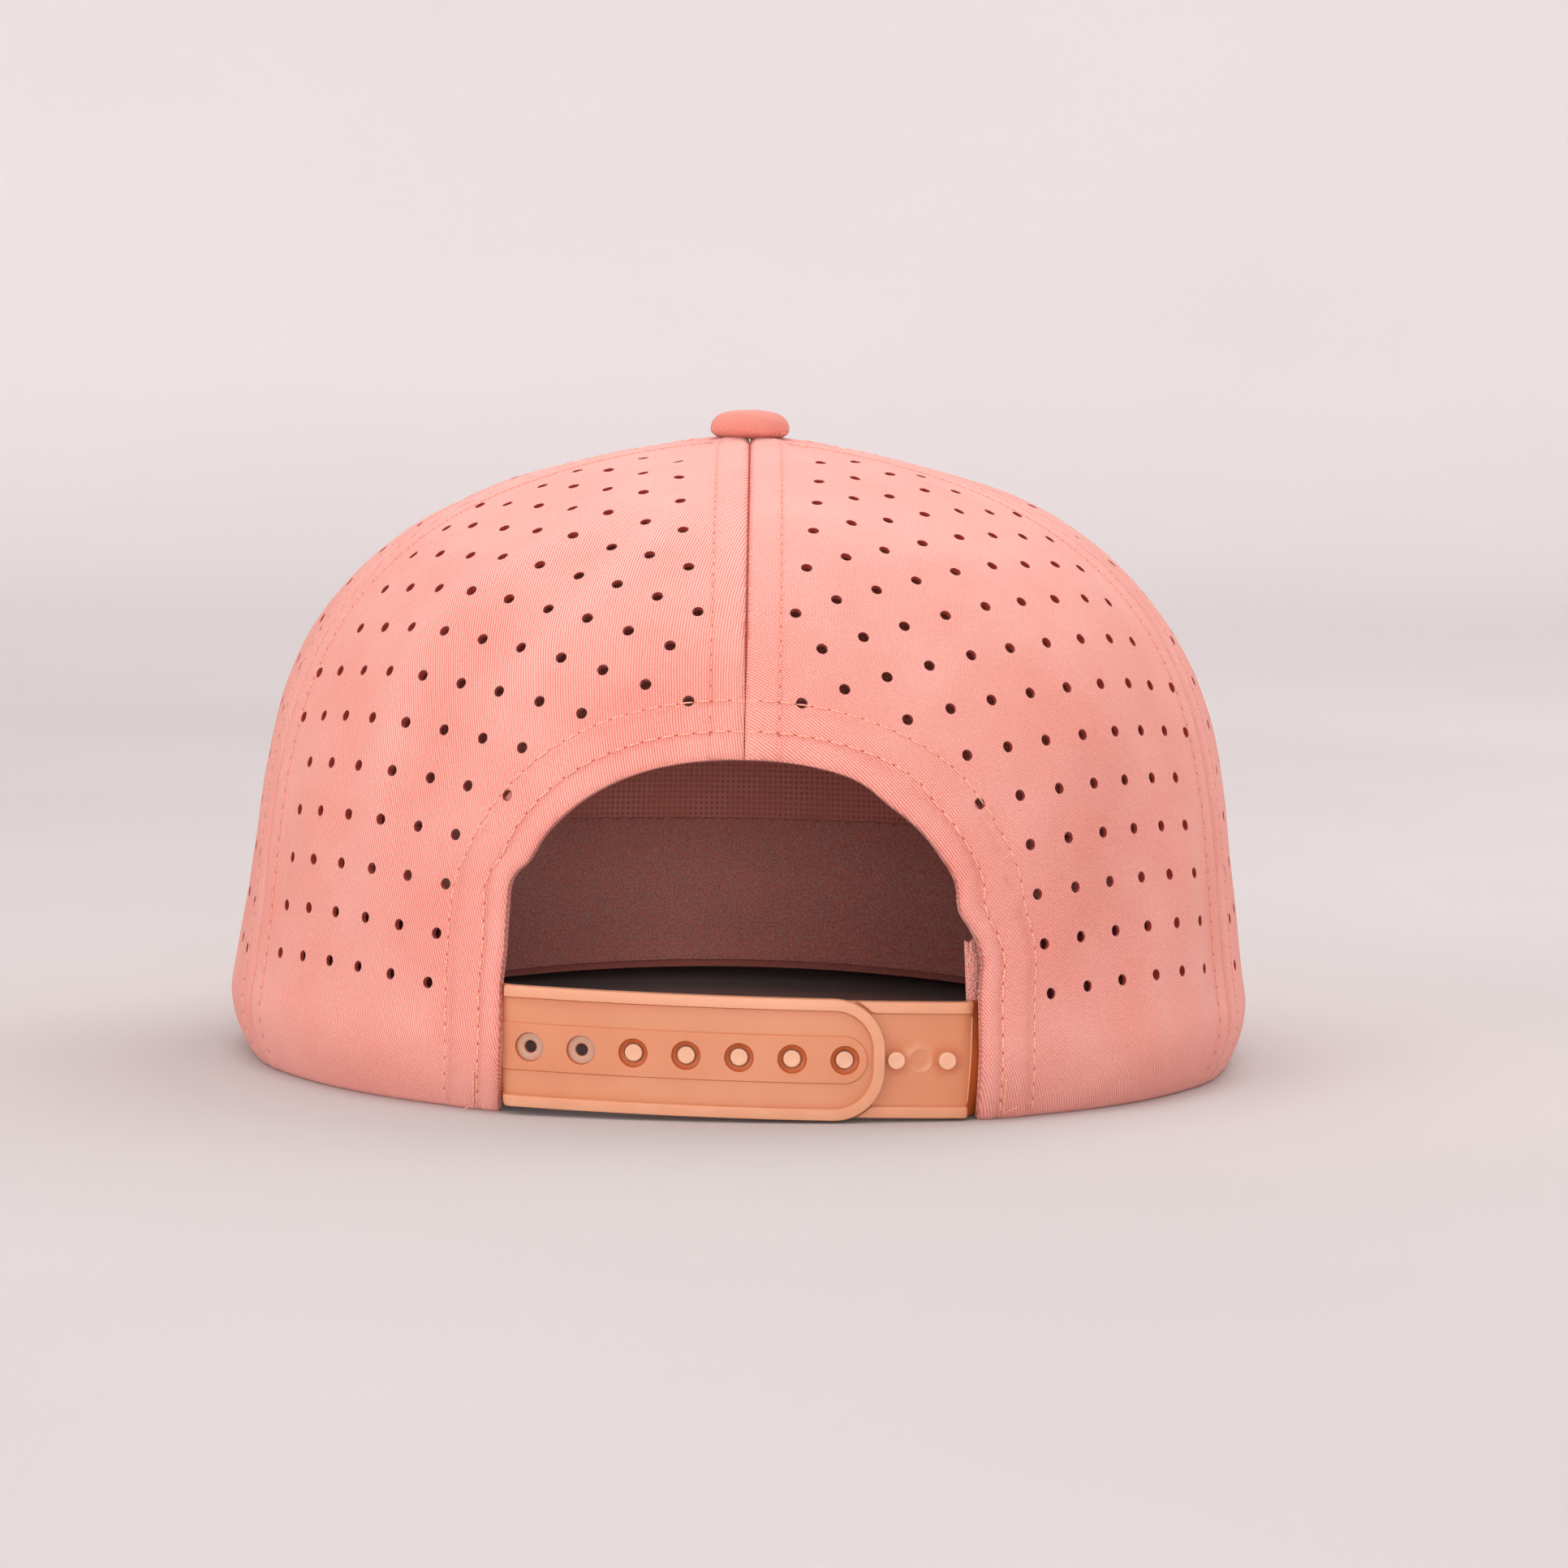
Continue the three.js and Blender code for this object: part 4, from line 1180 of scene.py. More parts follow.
def make_hole_strap(material):
    """The strap on the wearer's left: rails joined round the tip, a raised band, stepped holes."""
    face = STRAP_SPACE + STRAP_THICKNESS
    places = [FIRST_HOLE - k * SNAP_PITCH for k in range(SNAP_COUNT)]
    radii = [OPEN_RADIUS if k < OPEN_HOLES else FILLED_RADIUS for k in range(SNAP_COUNT)]
    outline = strap_loop(*HOLE_OUTLINE)
    features = [strap_loop(*HOLE_OUTLINE, inset) for inset in (0.12, 0.3, RAIL - 0.12, RAIL + 0.14)]
    features += [strap_loop(*BAND_OUTLINE, inset) for inset in (-0.1, 0.14)]
    features += [circle(p, r) for p in places for r in (BORE_RADIUS - 0.12, BORE_RADIUS + 0.08)]
    features += [circle(p, r + 0.14, 20) for p, r in zip(places, radii)]
    rows = [np.stack([np.full(24, p), STRAP_MIDDLE + np.linspace(-HALF_STRAP, HALF_STRAP, 24)], 1)
            for p in (RAIL_START, RAIL_START - 0.22, HINGE_PLACE - 1, HINGE_PLACE, HINGE_PLACE + 2)]
    holes = [circle(p, r, 20) for p, r in zip(places, radii)]
    points, corners = fill_outline(outline, rows, holes, features, spacing=1.3, closest=0.12)
    p, h = points.T
    edge = strap_depth(p, h, *HOLE_OUTLINE)
    rail = (1 - smoothstep(edge, RAIL - 0.12, RAIL + 0.14)) * smoothstep(RAIL_START - p, 0, 0.22)
    band = smoothstep(strap_depth(p, h, *BAND_OUTLINE), -0.1, 0.14)
    front = face + 0.7 * rail + 0.4 * band
    # Painted highlight on the raised rails; painted shade on the end past the rails, where the
    # fabric shadows it, and in the recess inside the rails.
    tone = 0.35 * rail - 0.12 * band - 1.1 * smoothstep(p, RAIL_START - 0.1, RAIL_START + 0.4)
    tone -= 0.35 * bell(edge - RAIL - 0.35, 0.35) * (1 - band)
    for k, (place, radius) in enumerate(zip(places, radii)):
        away = np.hypot(p - place, h - STRAP_MIDDLE)
        bore = 1 - smoothstep(away, BORE_RADIUS - 0.12, BORE_RADIUS + 0.08)
        dish = lerp(face - 0.65, face - 0.35, smoothstep(away, radius, BORE_RADIUS))
        floor = face - 0.4 + 0.08 * bell(away - radius - 0.14, 0.12) if k < OPEN_HOLES else dish
        front = lerp(front, floor, bore)
        tone = lerp(tone, FILM_TONE if k < OPEN_HOLES else -1.6, bore)
        if k < OPEN_HOLES:
            tone = tone + 3.2 * bell(away - radius, 0.06)
    turn = fold_round(edge, 0.3)
    front, back = front - turn, STRAP_SPACE + 0.6 * turn
    skin = [strap_points(1, p, h, level) for level in (front, back)]
    meshed, faces = sandwich(*skin, corners[:, ::-1])
    cloth, tone = np.tile(points, (2, 1)), np.tile(tone, 2)
    finish_strap(meshed, faces, cloth, tone, material, "hole_strap")


def make_peg(place):
    """A round peg with a softened head, as points and faces."""
    foot, head = -STRAP_SPACE - 0.3, -STRAP_SPACE + 1.42
    profile = [(0, foot), (PEG_RADIUS - 0.08, foot), (PEG_RADIUS, foot + 0.6),
               (PEG_RADIUS, head - 0.22)]
    profile += [(PEG_RADIUS - 0.2 * (1 - math.cos(a)), head - 0.22 + 0.2 * math.sin(a))
                for a in (0.4, 0.8, 1.2, 1.57)]
    profile += [(PEG_RADIUS - 0.45, head - 0.03), (PEG_RADIUS - 0.7, head - 0.06), (0, head - 0.06)]
    points, faces = lathe(profile, 28)
    q = -place
    x, across, level = points[:, 0], points[:, 1], points[:, 2]
    return strap_points(-1, -(q + x), STRAP_MIDDLE + across, level), faces


def make_peg_strap(material):
    """The strap on the wearer's right, under the other: pegs, short rails and an ejector mark."""
    face = -STRAP_SPACE
    outline = strap_loop(*PEG_OUTLINE)
    mark = FIRST_PEG - (SNAP_COUNT - 1.5) * SNAP_PITCH
    line_place, slope = -HINGE_PLACE - 1.1, -0.05
    features = [strap_loop(*PEG_OUTLINE, inset) for inset in (0.12, 0.3, RAIL - 0.12, RAIL + 0.14)]
    features += [circle(mark, radius, 40) for radius in (1.85, 1.97, 2.09)]
    heights = STRAP_MIDDLE + np.linspace(-HALF_STRAP, HALF_STRAP, 26)
    rows = [np.stack([np.full(26, p), heights], 1)
            for p in (1 - HINGE_PLACE, -HINGE_PLACE, -HINGE_PLACE - 2.5)]
    slant = slope * (heights - STRAP_MIDDLE)
    rows += [np.stack([line_place + slant + step, heights], 1)
             for step in (-0.3, -0.14, 0, 0.14, 0.3)]
    rows += [strap_loop(*HOLE_OUTLINE, inset, 0.5) for inset in (-0.25, -0.5)]
    points, corners = fill_outline(outline, rows, (), features, spacing=1.3, closest=0.12)
    p, h = points.T
    edge = strap_depth(p, h, *PEG_OUTLINE)
    clear = smoothstep(-strap_depth(p, h, *HOLE_OUTLINE), 0.25, 0.5)
    slanted = p - line_place - slope * (h - STRAP_MIDDLE)
    rail = (1 - smoothstep(edge, RAIL - 0.12, RAIL + 0.14)) * smoothstep(slanted, 0, 0.2) * clear
    away = np.hypot(p - mark, h - STRAP_MIDDLE)
    short = smoothstep(HALF_STRAP - 2.6 - np.abs(h - STRAP_MIDDLE), 0, 0.5)
    front = face + 0.7 * rail + 0.07 * bell(away - 1.97, 0.09) + 0.12 * bell(slanted, 0.1) * short
    # Painted highlight on the rails, the ejector mark's ring and the slanted ridge; painted shade
    # on the end towards the hinge, where the fabric shadows it.
    tone = 0.35 * rail - 0.12 - smoothstep(-slanted, -0.1, 0.4) - 0.15 * smoothstep(-slanted, -4, 0)
    tone += 0.5 * bell(away - 1.97, 0.12) + 0.8 * bell(slanted, 0.12) * short
    # Painted shade round the foot of each peg.
    for k in range(SNAP_COUNT):
        ring = np.hypot(p - FIRST_PEG + k * SNAP_PITCH, h - STRAP_MIDDLE)
        tone -= 0.5 * bell(ring - 1.6, 1.0)
    turn = fold_round(edge, 0.3)
    back = face - STRAP_THICKNESS + 0.6 * turn
    skin = [strap_points(-1, p, h, level) for level in (front - turn, back)]
    meshed, faces = sandwich(*skin, corners[:, ::-1])
    cloth, tone = np.tile(points, (2, 1)), np.tile(tone, 2)
    for k in range(SNAP_COUNT):
        place = FIRST_PEG - k * SNAP_PITCH
        peg, peg_faces = make_peg(place)
        faces += [tuple(corner + len(meshed) for corner in face) for face in peg_faces]
        meshed = np.concatenate([meshed, peg])
        cloth = np.concatenate([cloth, np.tile((place, STRAP_MIDDLE), (len(peg), 1))])
        # Painted highlight: the pegs are paler than the strap.
        tone = np.concatenate([tone, np.full(len(peg), 0.75)])
    finish_strap(meshed, faces, cloth, tone, material, "peg_strap")


def finish_strap(points, faces, cloth, tone, material, body):
    """A strap's moulding, in one piece from its sewn-in end to its free part."""
    piece = make_object(f"{body}_moulding", points, faces, cloth, tone, sharp=35)
    finish_piece(piece, material, [body, f"{body}_flange"], body=None)
    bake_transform(piece)


# ---- Button ----

def make_button(material):
    """A cloth-covered dome: cloth gathered under its rim in small pleats."""
    rings, segments = 46, 120
    angle = np.arange(segments)[None] * TURN / segments
    share = np.linspace(0, 1, rings)[:, None]
    turn = lerp(-0.32, 0.5, share) * math.pi
    radius = BUTTON_RADIUS * np.cos(turn) ** 0.6
    widest = BUTTON_BASE + 1.2
    lift = np.where(turn > 0, BUTTON_BASE + BUTTON_HEIGHT - widest, 2.0)
    height = widest + lift * np.sin(turn)
    pleats = 0.13 * np.sin(17 * angle + 1.3 * np.sin(3 * angle)) * bell(share, 0.16)
    dents = 0.09 * waves(radius * np.cos(angle), radius * np.sin(angle), (6, 8, 11), 51)
    radius = radius + pleats + dents * (1 - share)
    height = height + dents * share
    outer = (radius * np.cos(angle), radius * np.sin(angle), height)
    outer = np.stack(np.broadcast_arrays(*outer), -1)[:-1]
    under = [(BUTTON_RADIUS - 2.4, BUTTON_BASE - 0.45), (BUTTON_RADIUS - 2.2, BUTTON_BASE + 0.2)]
    inner_turn = np.linspace(0.12, 1, 14) * math.pi / 2
    top, thickness = BUTTON_BASE + BUTTON_HEIGHT, 0.7
    shell = [((BUTTON_RADIUS - 0.75) * math.cos(a) ** 0.65,
              BUTTON_BASE + (BUTTON_HEIGHT - thickness) * math.sin(a) ** 0.85)
             for a in inner_turn[:-1]]
    rings = np.concatenate([outer[::-1], turned_rings(under + shell, segments)])
    points, faces = ring_skin(rings, [(0, 0, top), (0, 0, top - thickness)])
    spread = np.hypot(points[:, 0], points[:, 1])
    reach = spread + (top - points[:, 2]) * smoothstep(spread, 3, 7)
    cloth = points[:, :2] / np.maximum(spread, 0.01)[:, None] * reach[:, None] * (-1, 1)
    # Painted highlight paling the dome, and painted shade under its rim.
    tone = 0.3 - 0.9 * smoothstep(-points[:, 2], -BUTTON_BASE - 1.0, -BUTTON_BASE + 0.4)
    piece = make_object("button_cover_cloth", points, faces, cloth, tone)
    finish_piece(piece, material, ["button_cover"])


def make_button_metal(material):
    """The tinned shell under the cloth, with its shank, and the cupped washer that locks it."""
    base = BUTTON_BASE
    shell = [(0, 108.8), (2.9, 108.8), (3.3, 109.0), (3.4, 109.3), (3.2, 109.5), (2.1, 109.6),
             (2.0, 110.0), (2.0, base - 0.3), (2.4, base + 0.05)]
    shell += [(6.1 * math.cos(a) ** 0.7, base + 0.1 + 3.4 * math.sin(a) ** 0.8)
              for a in np.linspace(0, 1.5, 12)] + [(0, base + 3.6)]
    points, faces = lathe(shell, 48)
    piece = make_object("button_shell_metal", points, faces, points[:, :2], sharp=40)
    finish_piece(piece, material, ["button_shell"])
    washer = [(2.4, 110.45), (2.4, 109.85), (2.7, 109.7), (5.0, 109.7), (6.8, 109.5), (7.7, 109.35),
              (8.0, 109.55), (7.8, 109.85), (6.6, 110.0), (5.0, 110.25), (3.0, 110.6)]
    points, faces = ring_skin(turned_rings(washer, 60), looped=True)
    piece = make_object("button_washer_metal", points, faces, points[:, :2], sharp=40)
    finish_piece(piece, material, ["button_washer"])


# ---- Materials ----

def srgb(red, green, blue):
    """A linear colour from display values, 0 to 255."""
    values = np.array([red, green, blue]) / 255
    linear = np.where(values <= 0.04045, values / 12.92, ((values + 0.055) / 1.055) ** 2.4)
    return (*linear.tolist(), 1.0)


class Shader:
    """A material's node tree, built by short calls."""

    def __init__(self, name):
        self.material = bpy.data.materials.new(name)
        self.material.use_nodes = True
        self.tree = self.material.node_tree
        self.surface = self.tree.nodes["Principled BSDF"]

    def node(self, kind, inputs=None, **settings):
        made = self.tree.nodes.new("ShaderNode" + kind)
        for key, value in settings.items():
            setattr(made, key, value)
        for key, value in (inputs or {}).items():
            self.feed(made.inputs[key], value)
        return made

    def feed(self, socket, value):
        if isinstance(value, bpy.types.NodeSocket):
            self.tree.links.new(value, socket)
        else:
            socket.default_value = value

    def set(self, **values):
        for key, value in values.items():
            self.feed(self.surface.inputs[key.replace("_", " ")], value)

    def attribute(self, name, output):
        return self.node("Attribute", attribute_name=name).outputs[output]

    def math(self, operation, *values):
        return self.node("Math", dict(enumerate(values)), operation=operation).outputs[0]

    def dot(self, vector, direction):
        made = self.node("VectorMath", {0: vector, 1: direction}, operation="DOT_PRODUCT")
        return made.outputs["Value"]

    def wave(self, turns):
        """A smooth wave from 0 to 1, one for each whole turn."""
        sine = self.math("SINE", self.math("MULTIPLY", turns, TURN))
        return self.math("MULTIPLY_ADD", sine, 0.5, 0.5)

    def mix(self, share, first, second):
        made = self.node("Mix", data_type="RGBA", blend_type="MIX", clamp_factor=True)
        self.feed(made.inputs[0], share)
        self.feed(made.inputs[6], first)
        self.feed(made.inputs[7], second)
        return made.outputs[2]

    def noise(self, vector, scale, detail=3.0, roughness=0.5):
        inputs = {"Vector": vector, "Scale": scale, "Detail": detail, "Roughness": roughness}
        return self.node("TexNoise", inputs).outputs[0]

    def ramp(self, value, low, high):
        inputs = {"Value": value, "From Min": low, "From Max": high}
        return self.node("MapRange", inputs, clamp=True).outputs[0]

    def place(self):
        """The point on the object, in millimetres."""
        point = self.node("TexCoord").outputs["Object"]
        return self.node("VectorMath", {0: point, "Scale": 1000.0}, operation="SCALE").outputs[0]

    def bump(self, height, distance, strength=1.0):
        inputs = {"Height": height, "Distance": distance, "Strength": strength}
        self.feed(self.surface.inputs["Normal"], self.node("Bump", inputs).outputs[0])

    def toned(self, colour, deep, pale):
        """Shifts a colour to deep where the tone is below 0, pale above: mostly painted shade and
        light.
        """
        tone = self.attribute("tone", "Fac")
        return self.mix(tone, self.mix(self.math("MULTIPLY", tone, -1.0), colour, deep), pale)


TWILL_ANGLE = 117 * DEGREE       # of the diagonal, from the cloth's weft
TWILL_PITCH = 0.45
YARN_PITCH = 0.62


def twill_pattern(shader, cloth):
    """Raised diagonal ribs broken into yarns, from 0 in the valleys to 1 on the ribs."""
    wander = shader.math("MULTIPLY", shader.noise(cloth, 0.16, 2.0), 0.8)
    x, y = math.cos(TWILL_ANGLE), math.sin(TWILL_ANGLE)
    across = (-y / TWILL_PITCH, x / TWILL_PITCH, 0)
    along = (x / YARN_PITCH, y / YARN_PITCH, 0)
    phase = shader.math("ADD", shader.dot(cloth, across), wander)
    rib = shader.wave(phase)
    step = shader.math("MULTIPLY", shader.math("FLOOR", shader.math("ADD", phase, 0.25)), 0.41)
    yarn = shader.math("ADD", shader.dot(cloth, along), step)
    return shader.math("MULTIPLY", rib, shader.math("MULTIPLY_ADD", shader.wave(yarn), 0.35, 0.65))


def make_twill(name, rib, valley, deep, pale):
    """Dyed polyester twill with a slight bloom at grazing angles."""
    shader = Shader(name)
    cloth = shader.attribute("cloth", "Vector")
    weave = twill_pattern(shader, cloth)
    tone = shader.attribute("tone", "Fac")
    # The tone paints highlight by paling the ribs where it is positive.
    colour = shader.mix(weave, valley, shader.mix(tone, rib, pale))
    patch = shader.ramp(shader.noise(cloth, 0.045, 4.0), 0.32, 0.68)
    fleck = shader.ramp(shader.noise(cloth, 1.9, 3.0), 0.35, 0.65)
    colour = shader.mix(shader.math("MULTIPLY", patch, 0.16), colour, pale)
    colour = shader.mix(shader.math("MULTIPLY", fleck, 0.14), colour, deep)
    # The tone paints shade by deepening the colour where it is negative.
    colour = shader.mix(shader.math("MULTIPLY", tone, -0.8), colour, deep)
    rough = shader.math("MULTIPLY_ADD", weave, -0.12, 0.9)
    shader.set(Base_Color=colour, Roughness=rough, Sheen_Weight=0.4, Sheen_Roughness=0.5,
               Sheen_Tint=srgb(255, 206, 197), Specular_IOR_Level=0.25)
    lint = shader.math("MULTIPLY", shader.noise(cloth, 3.2, 2.0), 0.35)
    shader.bump(shader.math("ADD", weave, lint), 0.00010, 0.9)
    return shader.material


def make_thread_material(name, dark, light):
    """Shiny two-ply thread."""
    shader = Shader(name)
    place = shader.place()
    inputs = {"Vector": place, "Scale": 1.1, "Distortion": 1.2}
    ply = shader.node("TexWave", inputs, bands_direction="DIAGONAL")
    colour = shader.mix(ply.outputs[1], dark, light)
    shader.set(Base_Color=colour, Roughness=0.55, Sheen_Weight=0.2)
    shader.bump(ply.outputs[1], 0.00005, 0.6)
    return shader.material


def make_mark_material():
    """Painted shade: the deep colour of the shadowed gaps between stitches and in the seams."""
    shader = Shader("stitch_shade_marks")
    fuzz = shader.noise(shader.place(), 3.0, 3.0)
    shader.set(Base_Color=shader.mix(fuzz, srgb(160, 48, 34), srgb(204, 92, 76)), Roughness=0.95)
    shader.bump(fuzz, 0.0001, 0.6)
    return shader.material


def make_terry():
    """Looped towelling, pale on the loop tips."""
    shader = Shader("terry")
    place = shader.place()
    loops = shader.node("TexVoronoi", {"Vector": place, "Scale": 2.2, "Randomness": 0.9})
    tips = shader.ramp(loops.outputs["Distance"], 0.7, 0.1)
    tangle = shader.noise(place, 2.6, 4.0, 0.65)
    height = shader.math("ADD", tips, shader.math("MULTIPLY", tangle, 0.7))
    colour = shader.mix(shader.ramp(height, 0.2, 1.35), srgb(242, 132, 116), srgb(255, 194, 180))
    # Painted shade from the tone: the band's face against the crown.
    colour = shader.toned(colour, srgb(150, 30, 20), srgb(255, 214, 204))
    shader.set(Base_Color=colour, Roughness=0.95, Sheen_Weight=0.3, Sheen_Roughness=0.4)
    shader.bump(height, 0.00035, 1.0)
    return shader.material


def make_tape_material():
    """Plain-woven bias tape."""
    shader = Shader("tape")
    cloth = shader.attribute("cloth", "Vector")
    threads = [shader.math("SINE", shader.math("MULTIPLY", shader.dot(cloth, axis), TURN))
               for axis in ((2.1, 0, 0), (0, 2.1, 0))]
    weave = shader.math("MULTIPLY_ADD", shader.math("MULTIPLY", *threads), 0.5, 0.5)
    colour = shader.mix(weave, srgb(172, 66, 58), srgb(214, 104, 92))
    worn = shader.ramp(shader.noise(cloth, 0.2, 3.0), 0.3, 0.8)
    colour = shader.mix(worn, colour, srgb(226, 130, 116))
    shader.set(Base_Color=colour, Roughness=0.88, Sheen_Weight=0.15)
    shader.bump(weave, 0.00008, 0.8)
    return shader.material


def make_buckram_material():
    """Stiffened open scrim: square threads with glue between them."""
    shader = Shader("buckram")
    cloth = shader.attribute("cloth", "Vector")
    threads = []
    for axis in ((0.9, 0, 0), (0, 0.9, 0)):
        sine = shader.math("SINE", shader.math("MULTIPLY", shader.dot(cloth, axis), math.pi))
        threads.append(shader.math("POWER", shader.math("ABSOLUTE", sine), 3.0))
    weave = shader.math("MAXIMUM", *threads)
    colour = shader.mix(weave, srgb(216, 112, 98), srgb(250, 166, 150))
    glue = shader.ramp(shader.noise(cloth, 0.1, 4.0), 0.35, 0.8)
    colour = shader.mix(glue, colour, srgb(236, 138, 122))
    shader.set(Base_Color=colour, Roughness=0.8)
    shader.bump(weave, 0.00015, 0.8)
    return shader.material


def make_strap_material():
    """Soft translucent moulded plastic with a satin skin."""
    shader = Shader("strap_plastic")
    place = shader.place()
    cloudy = shader.ramp(shader.noise(place, 0.09, 2.0), 0.3, 0.7)
    colour = shader.mix(cloudy, srgb(203, 132, 95), srgb(209, 140, 103))
    # Painted highlight and shade from the tone: rails, ridges, pegs and the shadowed ends.
    colour = shader.toned(colour, srgb(188, 92, 42), srgb(228, 178, 148))
    film = shader.ramp(shader.attribute("tone", "Fac"), -2.2, -2.8)
    colour = shader.mix(film, colour, srgb(190, 146, 124))
    skin = shader.noise(place, 1.6, 5.0, 0.6)
    rough = shader.math("MULTIPLY_ADD", skin, 0.22, 0.3)
    shader.set(Base_Color=colour, Roughness=rough, Specular_IOR_Level=0.45, IOR=1.48,
               Subsurface_Weight=0.35, Subsurface_Radius=(1.0, 0.42, 0.2), Subsurface_Scale=0.0028)
    shader.bump(skin, 0.00003, 0.5)
    return shader.material


def make_board_material():
    """Plain pale sheet, faintly mottled."""
    shader = Shader("visor_board")
    place = shader.place()
    grain = shader.noise(place, 0.8, 5.0, 0.6)
    colour = shader.mix(grain, srgb(214, 210, 204), srgb(238, 236, 232))
    shader.set(Base_Color=colour, Roughness=0.55, Specular_IOR_Level=0.4)
    shader.bump(grain, 0.00008, 0.5)
    return shader.material


def make_steel():
    """Tinned pressed steel, faintly brushed by the press."""
    shader = Shader("tinned_steel")
    place = shader.place()
    drawn = shader.node("VectorMath", {0: place, 1: (0.6, 0.6, 9.0)}, operation="MULTIPLY")
    brushed = shader.noise(drawn.outputs[0], 1.2, 4.0, 0.6)
    spots = shader.ramp(shader.noise(place, 0.7, 3.0), 0.55, 0.75)
    colour = shader.mix(spots, srgb(196, 196, 194), srgb(150, 146, 140))
    rough = shader.math("MULTIPLY_ADD", brushed, 0.25, 0.22)
    shader.set(Base_Color=colour, Metallic=1.0, Roughness=rough)
    shader.bump(brushed, 0.00002, 0.4)
    return shader.material


# ---- Stage, light and camera ----

def make_stage():
    """A round pale floor that curves up into a wall, the same from every side."""
    flat, bend, wall, segments = 1700.0, 900.0, 2600.0, 96
    profile = [(r, 0.0) for r in np.linspace(60, flat, 12)]
    profile += [(flat + bend * math.sin(a), bend * (1 - math.cos(a)))
                for a in np.linspace(0.1, math.pi / 2, 20)]
    profile += [(flat + bend, bend + (wall - bend) * k / 6) for k in range(1, 7)]
    points, faces = ring_skin(turned_rings(profile, segments), [(0, 0, 0)])
    floor = make_object("studio_floor", points, faces, sharp=80, closed=False)
    shader = Shader("studio_paper")
    place = shader.place()
    reach = shader.node("VectorMath", {0: place}, operation="LENGTH").outputs["Value"]
    # Painted shade near the middle and painted light farther out: the paper darkens where the lamps
    # light it most, so it looks even.
    colour = shader.mix(shader.ramp(reach, 700.0, 2100.0), srgb(196, 190, 189), srgb(243, 237, 238))
    mottle = shader.ramp(shader.noise(place, 0.004, 2.0), 0.3, 2.7)
    colour = shader.mix(mottle, colour, srgb(228, 220, 220))
    shader.set(Base_Color=colour, Roughness=0.9, Specular_IOR_Level=0.15)
    floor.data.materials.append(shader.material)


def make_light(name, place, size, energy):
    """A round white softbox, aimed at the middle of the cap."""
    data = bpy.data.lights.new(name, "AREA")
    data.shape, data.size, data.energy = "DISK", size, energy
    lamp = bpy.data.objects.new(name, data)
    bpy.context.scene.collection.objects.link(lamp)
    lamp.location = place
    aim = Vector((0, AXIS_Y * MM, 0.05)) - Vector(place)
    lamp.rotation_euler = aim.to_track_quat("-Z", "Y").to_euler()


def make_lights():
    """An even pale surrounding, and four weak softboxes."""
    world = bpy.data.worlds.new("studio")
    bpy.context.scene.world = world
    world.use_nodes = True
    background = world.node_tree.nodes["Background"]
    background.inputs[0].default_value = (1.0, 0.985, 0.98, 1)
    background.inputs[1].default_value = 0.96
    make_light("overhead_softbox", (0.35, 0.1, 1.5), 1.2, 4)
    make_light("rim_softbox", (-0.6, -0.5, 0.9), 1.0, 5)
    make_light("side_fill", (0.9, 1.2, 0.45), 1.0, 6.5)
    make_light("low_fill", (-0.1, 1.8, 0.22), 0.8, 13)
    bpy.context.scene.view_settings.view_transform = "Standard"


CAMERA_DISTANCE = 1.0
CAMERA_HEIGHT_ANGLE = 4.18 * DEGREE
CAMERA_ROLL = 1.004 * DEGREE
CAMERA_TARGET_HEIGHT = 0.06
CAMERA_LENS = 125.3
CAMERA_SHIFT = (0.0250, -0.0374)


def make_camera():
    """Behind the cap and a little above it, turned slightly about its own axis."""
    data = bpy.data.cameras.new("camera")
    data.lens, data.sensor_width = CAMERA_LENS, 36
    data.shift_x, data.shift_y = CAMERA_SHIFT
    data.clip_start, data.clip_end = 0.05, 20
    camera = bpy.data.objects.new("camera", data)
    bpy.context.scene.collection.objects.link(camera)
    backward = Vector((0, math.cos(CAMERA_HEIGHT_ANGLE), math.sin(CAMERA_HEIGHT_ANGLE)))
    level = Vector((-1, 0, 0))
    upright = backward.cross(level)
    right = level * math.cos(CAMERA_ROLL) + upright * math.sin(CAMERA_ROLL)
    up = upright * math.cos(CAMERA_ROLL) - level * math.sin(CAMERA_ROLL)
    turned = Matrix((right, up, backward)).transposed().to_4x4()
    turned.translation = Vector((0, AXIS_Y * MM, CAMERA_TARGET_HEIGHT)) + backward * CAMERA_DISTANCE
    camera.matrix_world = turned
    bpy.context.scene.camera = camera


# ---- The whole cap ----

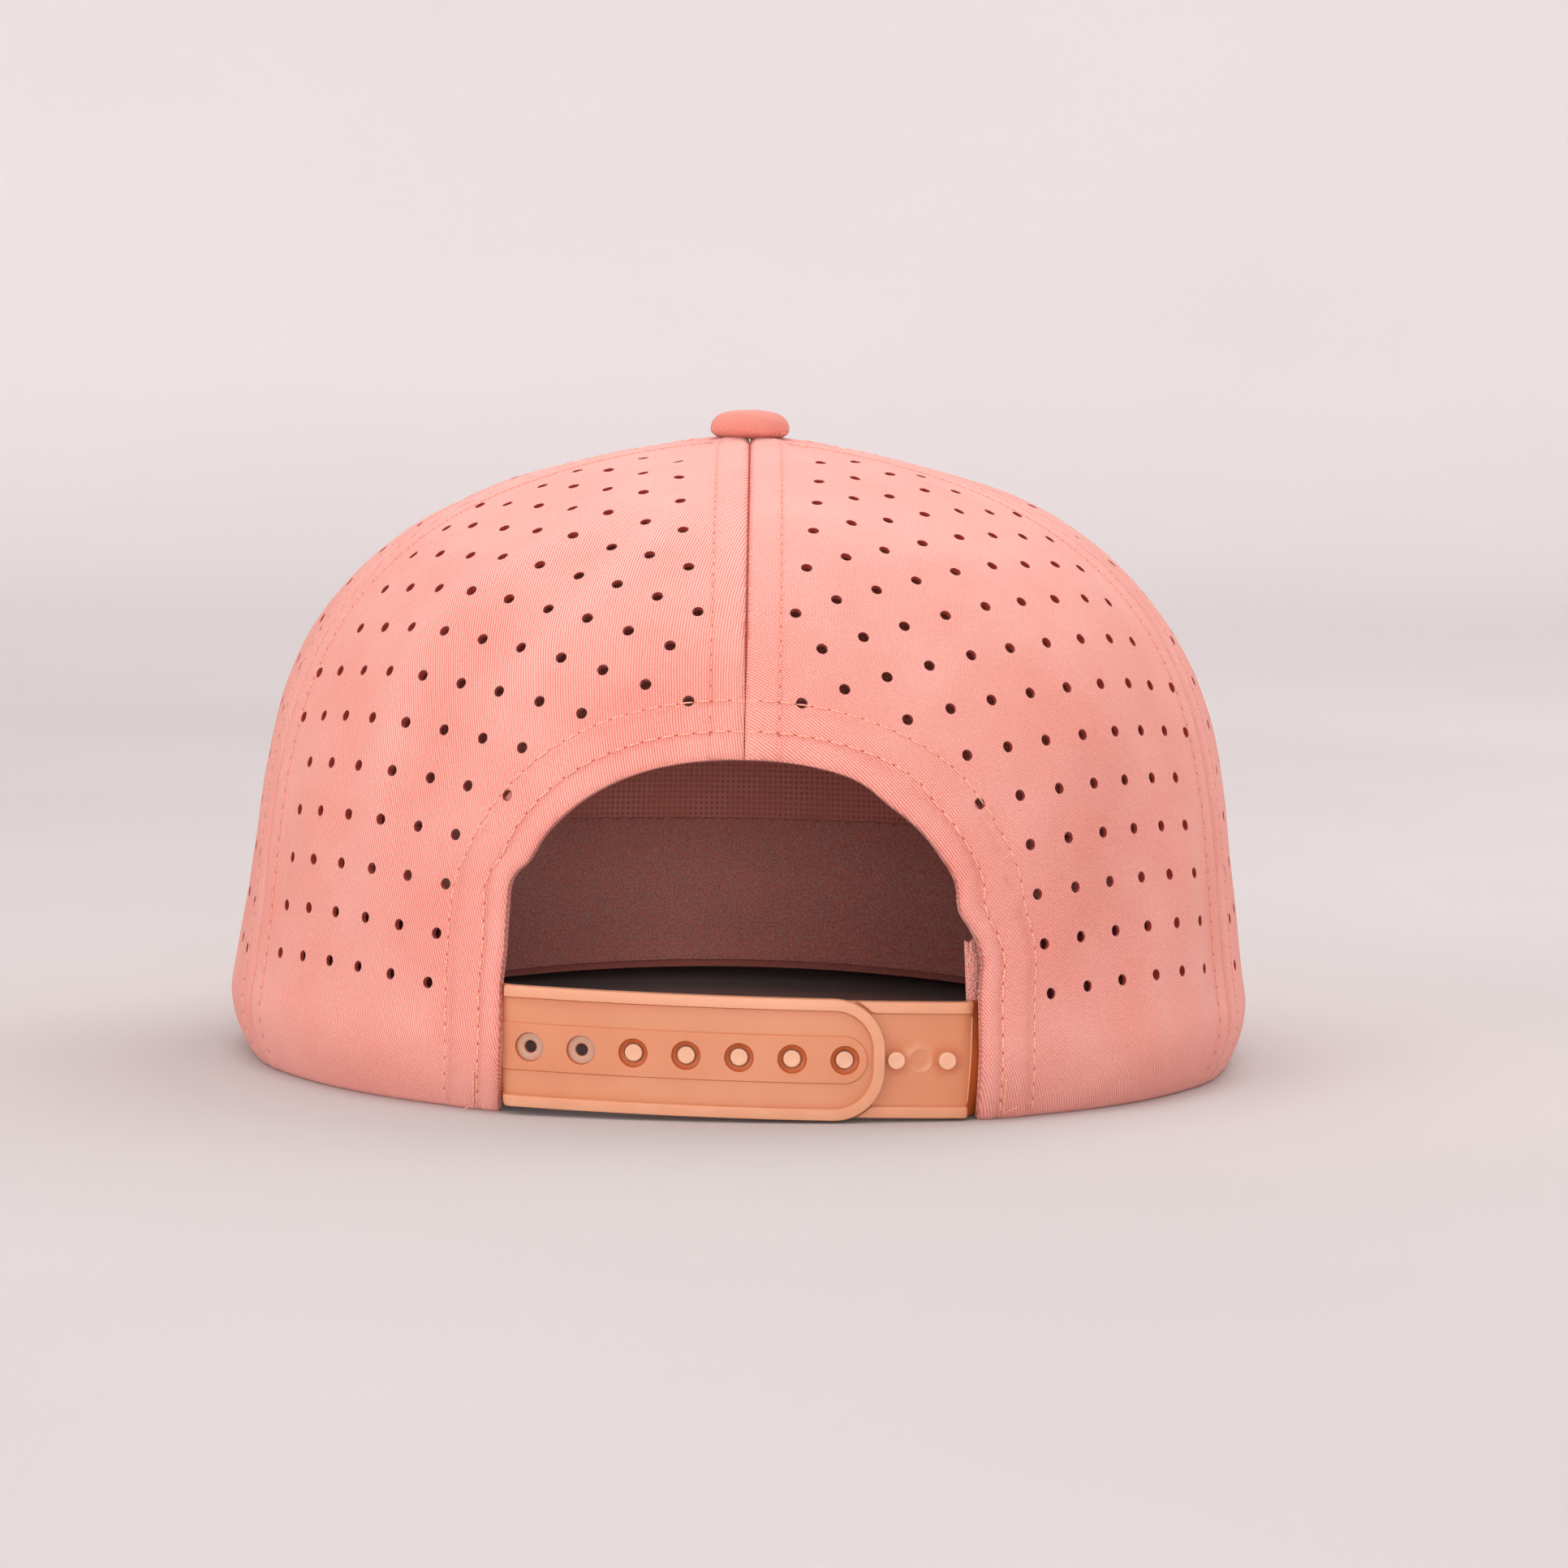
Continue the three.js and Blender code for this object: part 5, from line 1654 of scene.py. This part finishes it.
def build():
    """The stage, and the cap piece by piece."""
    make_camera()
    make_stage()
    make_lights()
    fabric = make_twill("coral_twill", rib=srgb(246, 178, 164), valley=srgb(212, 112, 97),
                        deep=srgb(150, 38, 28), pale=srgb(252, 222, 215))
    matched_thread = make_thread_material("matched_thread", dark=srgb(228, 136, 112),
                                          light=srgb(246, 172, 152))
    make_crown(fabric, matched_thread)
    make_linings(fabric)
    make_visor_covers(fabric)
    make_visor_board(make_board_material())
    visor_thread, band_thread = Thread(), Thread()
    stitch_visor(visor_thread)
    stitch_sweatband(band_thread)
    finish_piece(visor_thread.piece("visor_stitching"), matched_thread)
    finish_piece(band_thread.piece("sweatband_stitching"), matched_thread)

    plastic = make_strap_material()
    make_hole_strap(plastic)
    make_peg_strap(plastic)
    make_button(make_twill("button_twill", rib=srgb(244, 156, 138), valley=srgb(208, 106, 90),
                           deep=srgb(160, 46, 36), pale=srgb(252, 186, 170)))
    make_button_metal(make_steel())


def make_crown(fabric, matched_thread):
    """The five panels, with their seams and stitching."""
    pale_thread = make_thread_material("pale_thread", srgb(224, 140, 110), srgb(248, 190, 163))
    panels = make_panels()
    for panel in panels:
        panel.build(fabric, punched=panel.name != "front_panel")
    # Painted shade: dark capsules between the stitches and down in the seams.
    stitch_shade_marks = Thread()
    thread, arch_thread = Thread(stitch_shade_marks), Thread(stitch_shade_marks)
    for panel in panels:
        panel.stitch_seams(thread)
        if panel.arch:
            stitch_arch(panel, arch_thread)
    pit_seams(panels, stitch_shade_marks)
    finish_piece(thread.piece("crown_stitching"), matched_thread)
    finish_piece(arch_thread.piece("arch_stitching"), pale_thread)
    finish_piece(stitch_shade_marks.piece("crown_stitch_shade"), make_mark_material())


def make_linings(fabric):
    """Everything sewn inside the crown."""
    tape = make_tape_material()
    tape_low = SWEATBAND_BOTTOM + 1.5
    front_low = tape_low + float(hem_height(np.array(FRONT_SEAM[0]))) + 1
    make_tape("seam_tape_back_centre", (0.0, 0.0), ARCH_TOP + FACING_WIDTH + 2, tape)
    make_tape("seam_tape_back_left", BACK_SEAM, tape_low, tape)
    make_tape("seam_tape_back_right", mirror(BACK_SEAM), tape_low, tape)
    make_tape("seam_tape_front_left", FRONT_SEAM, front_low, tape)
    make_tape("seam_tape_front_right", mirror(FRONT_SEAM), front_low, tape)
    make_buckram(make_buckram_material())
    make_facing(fabric)
    make_sweatband(make_terry())


build()
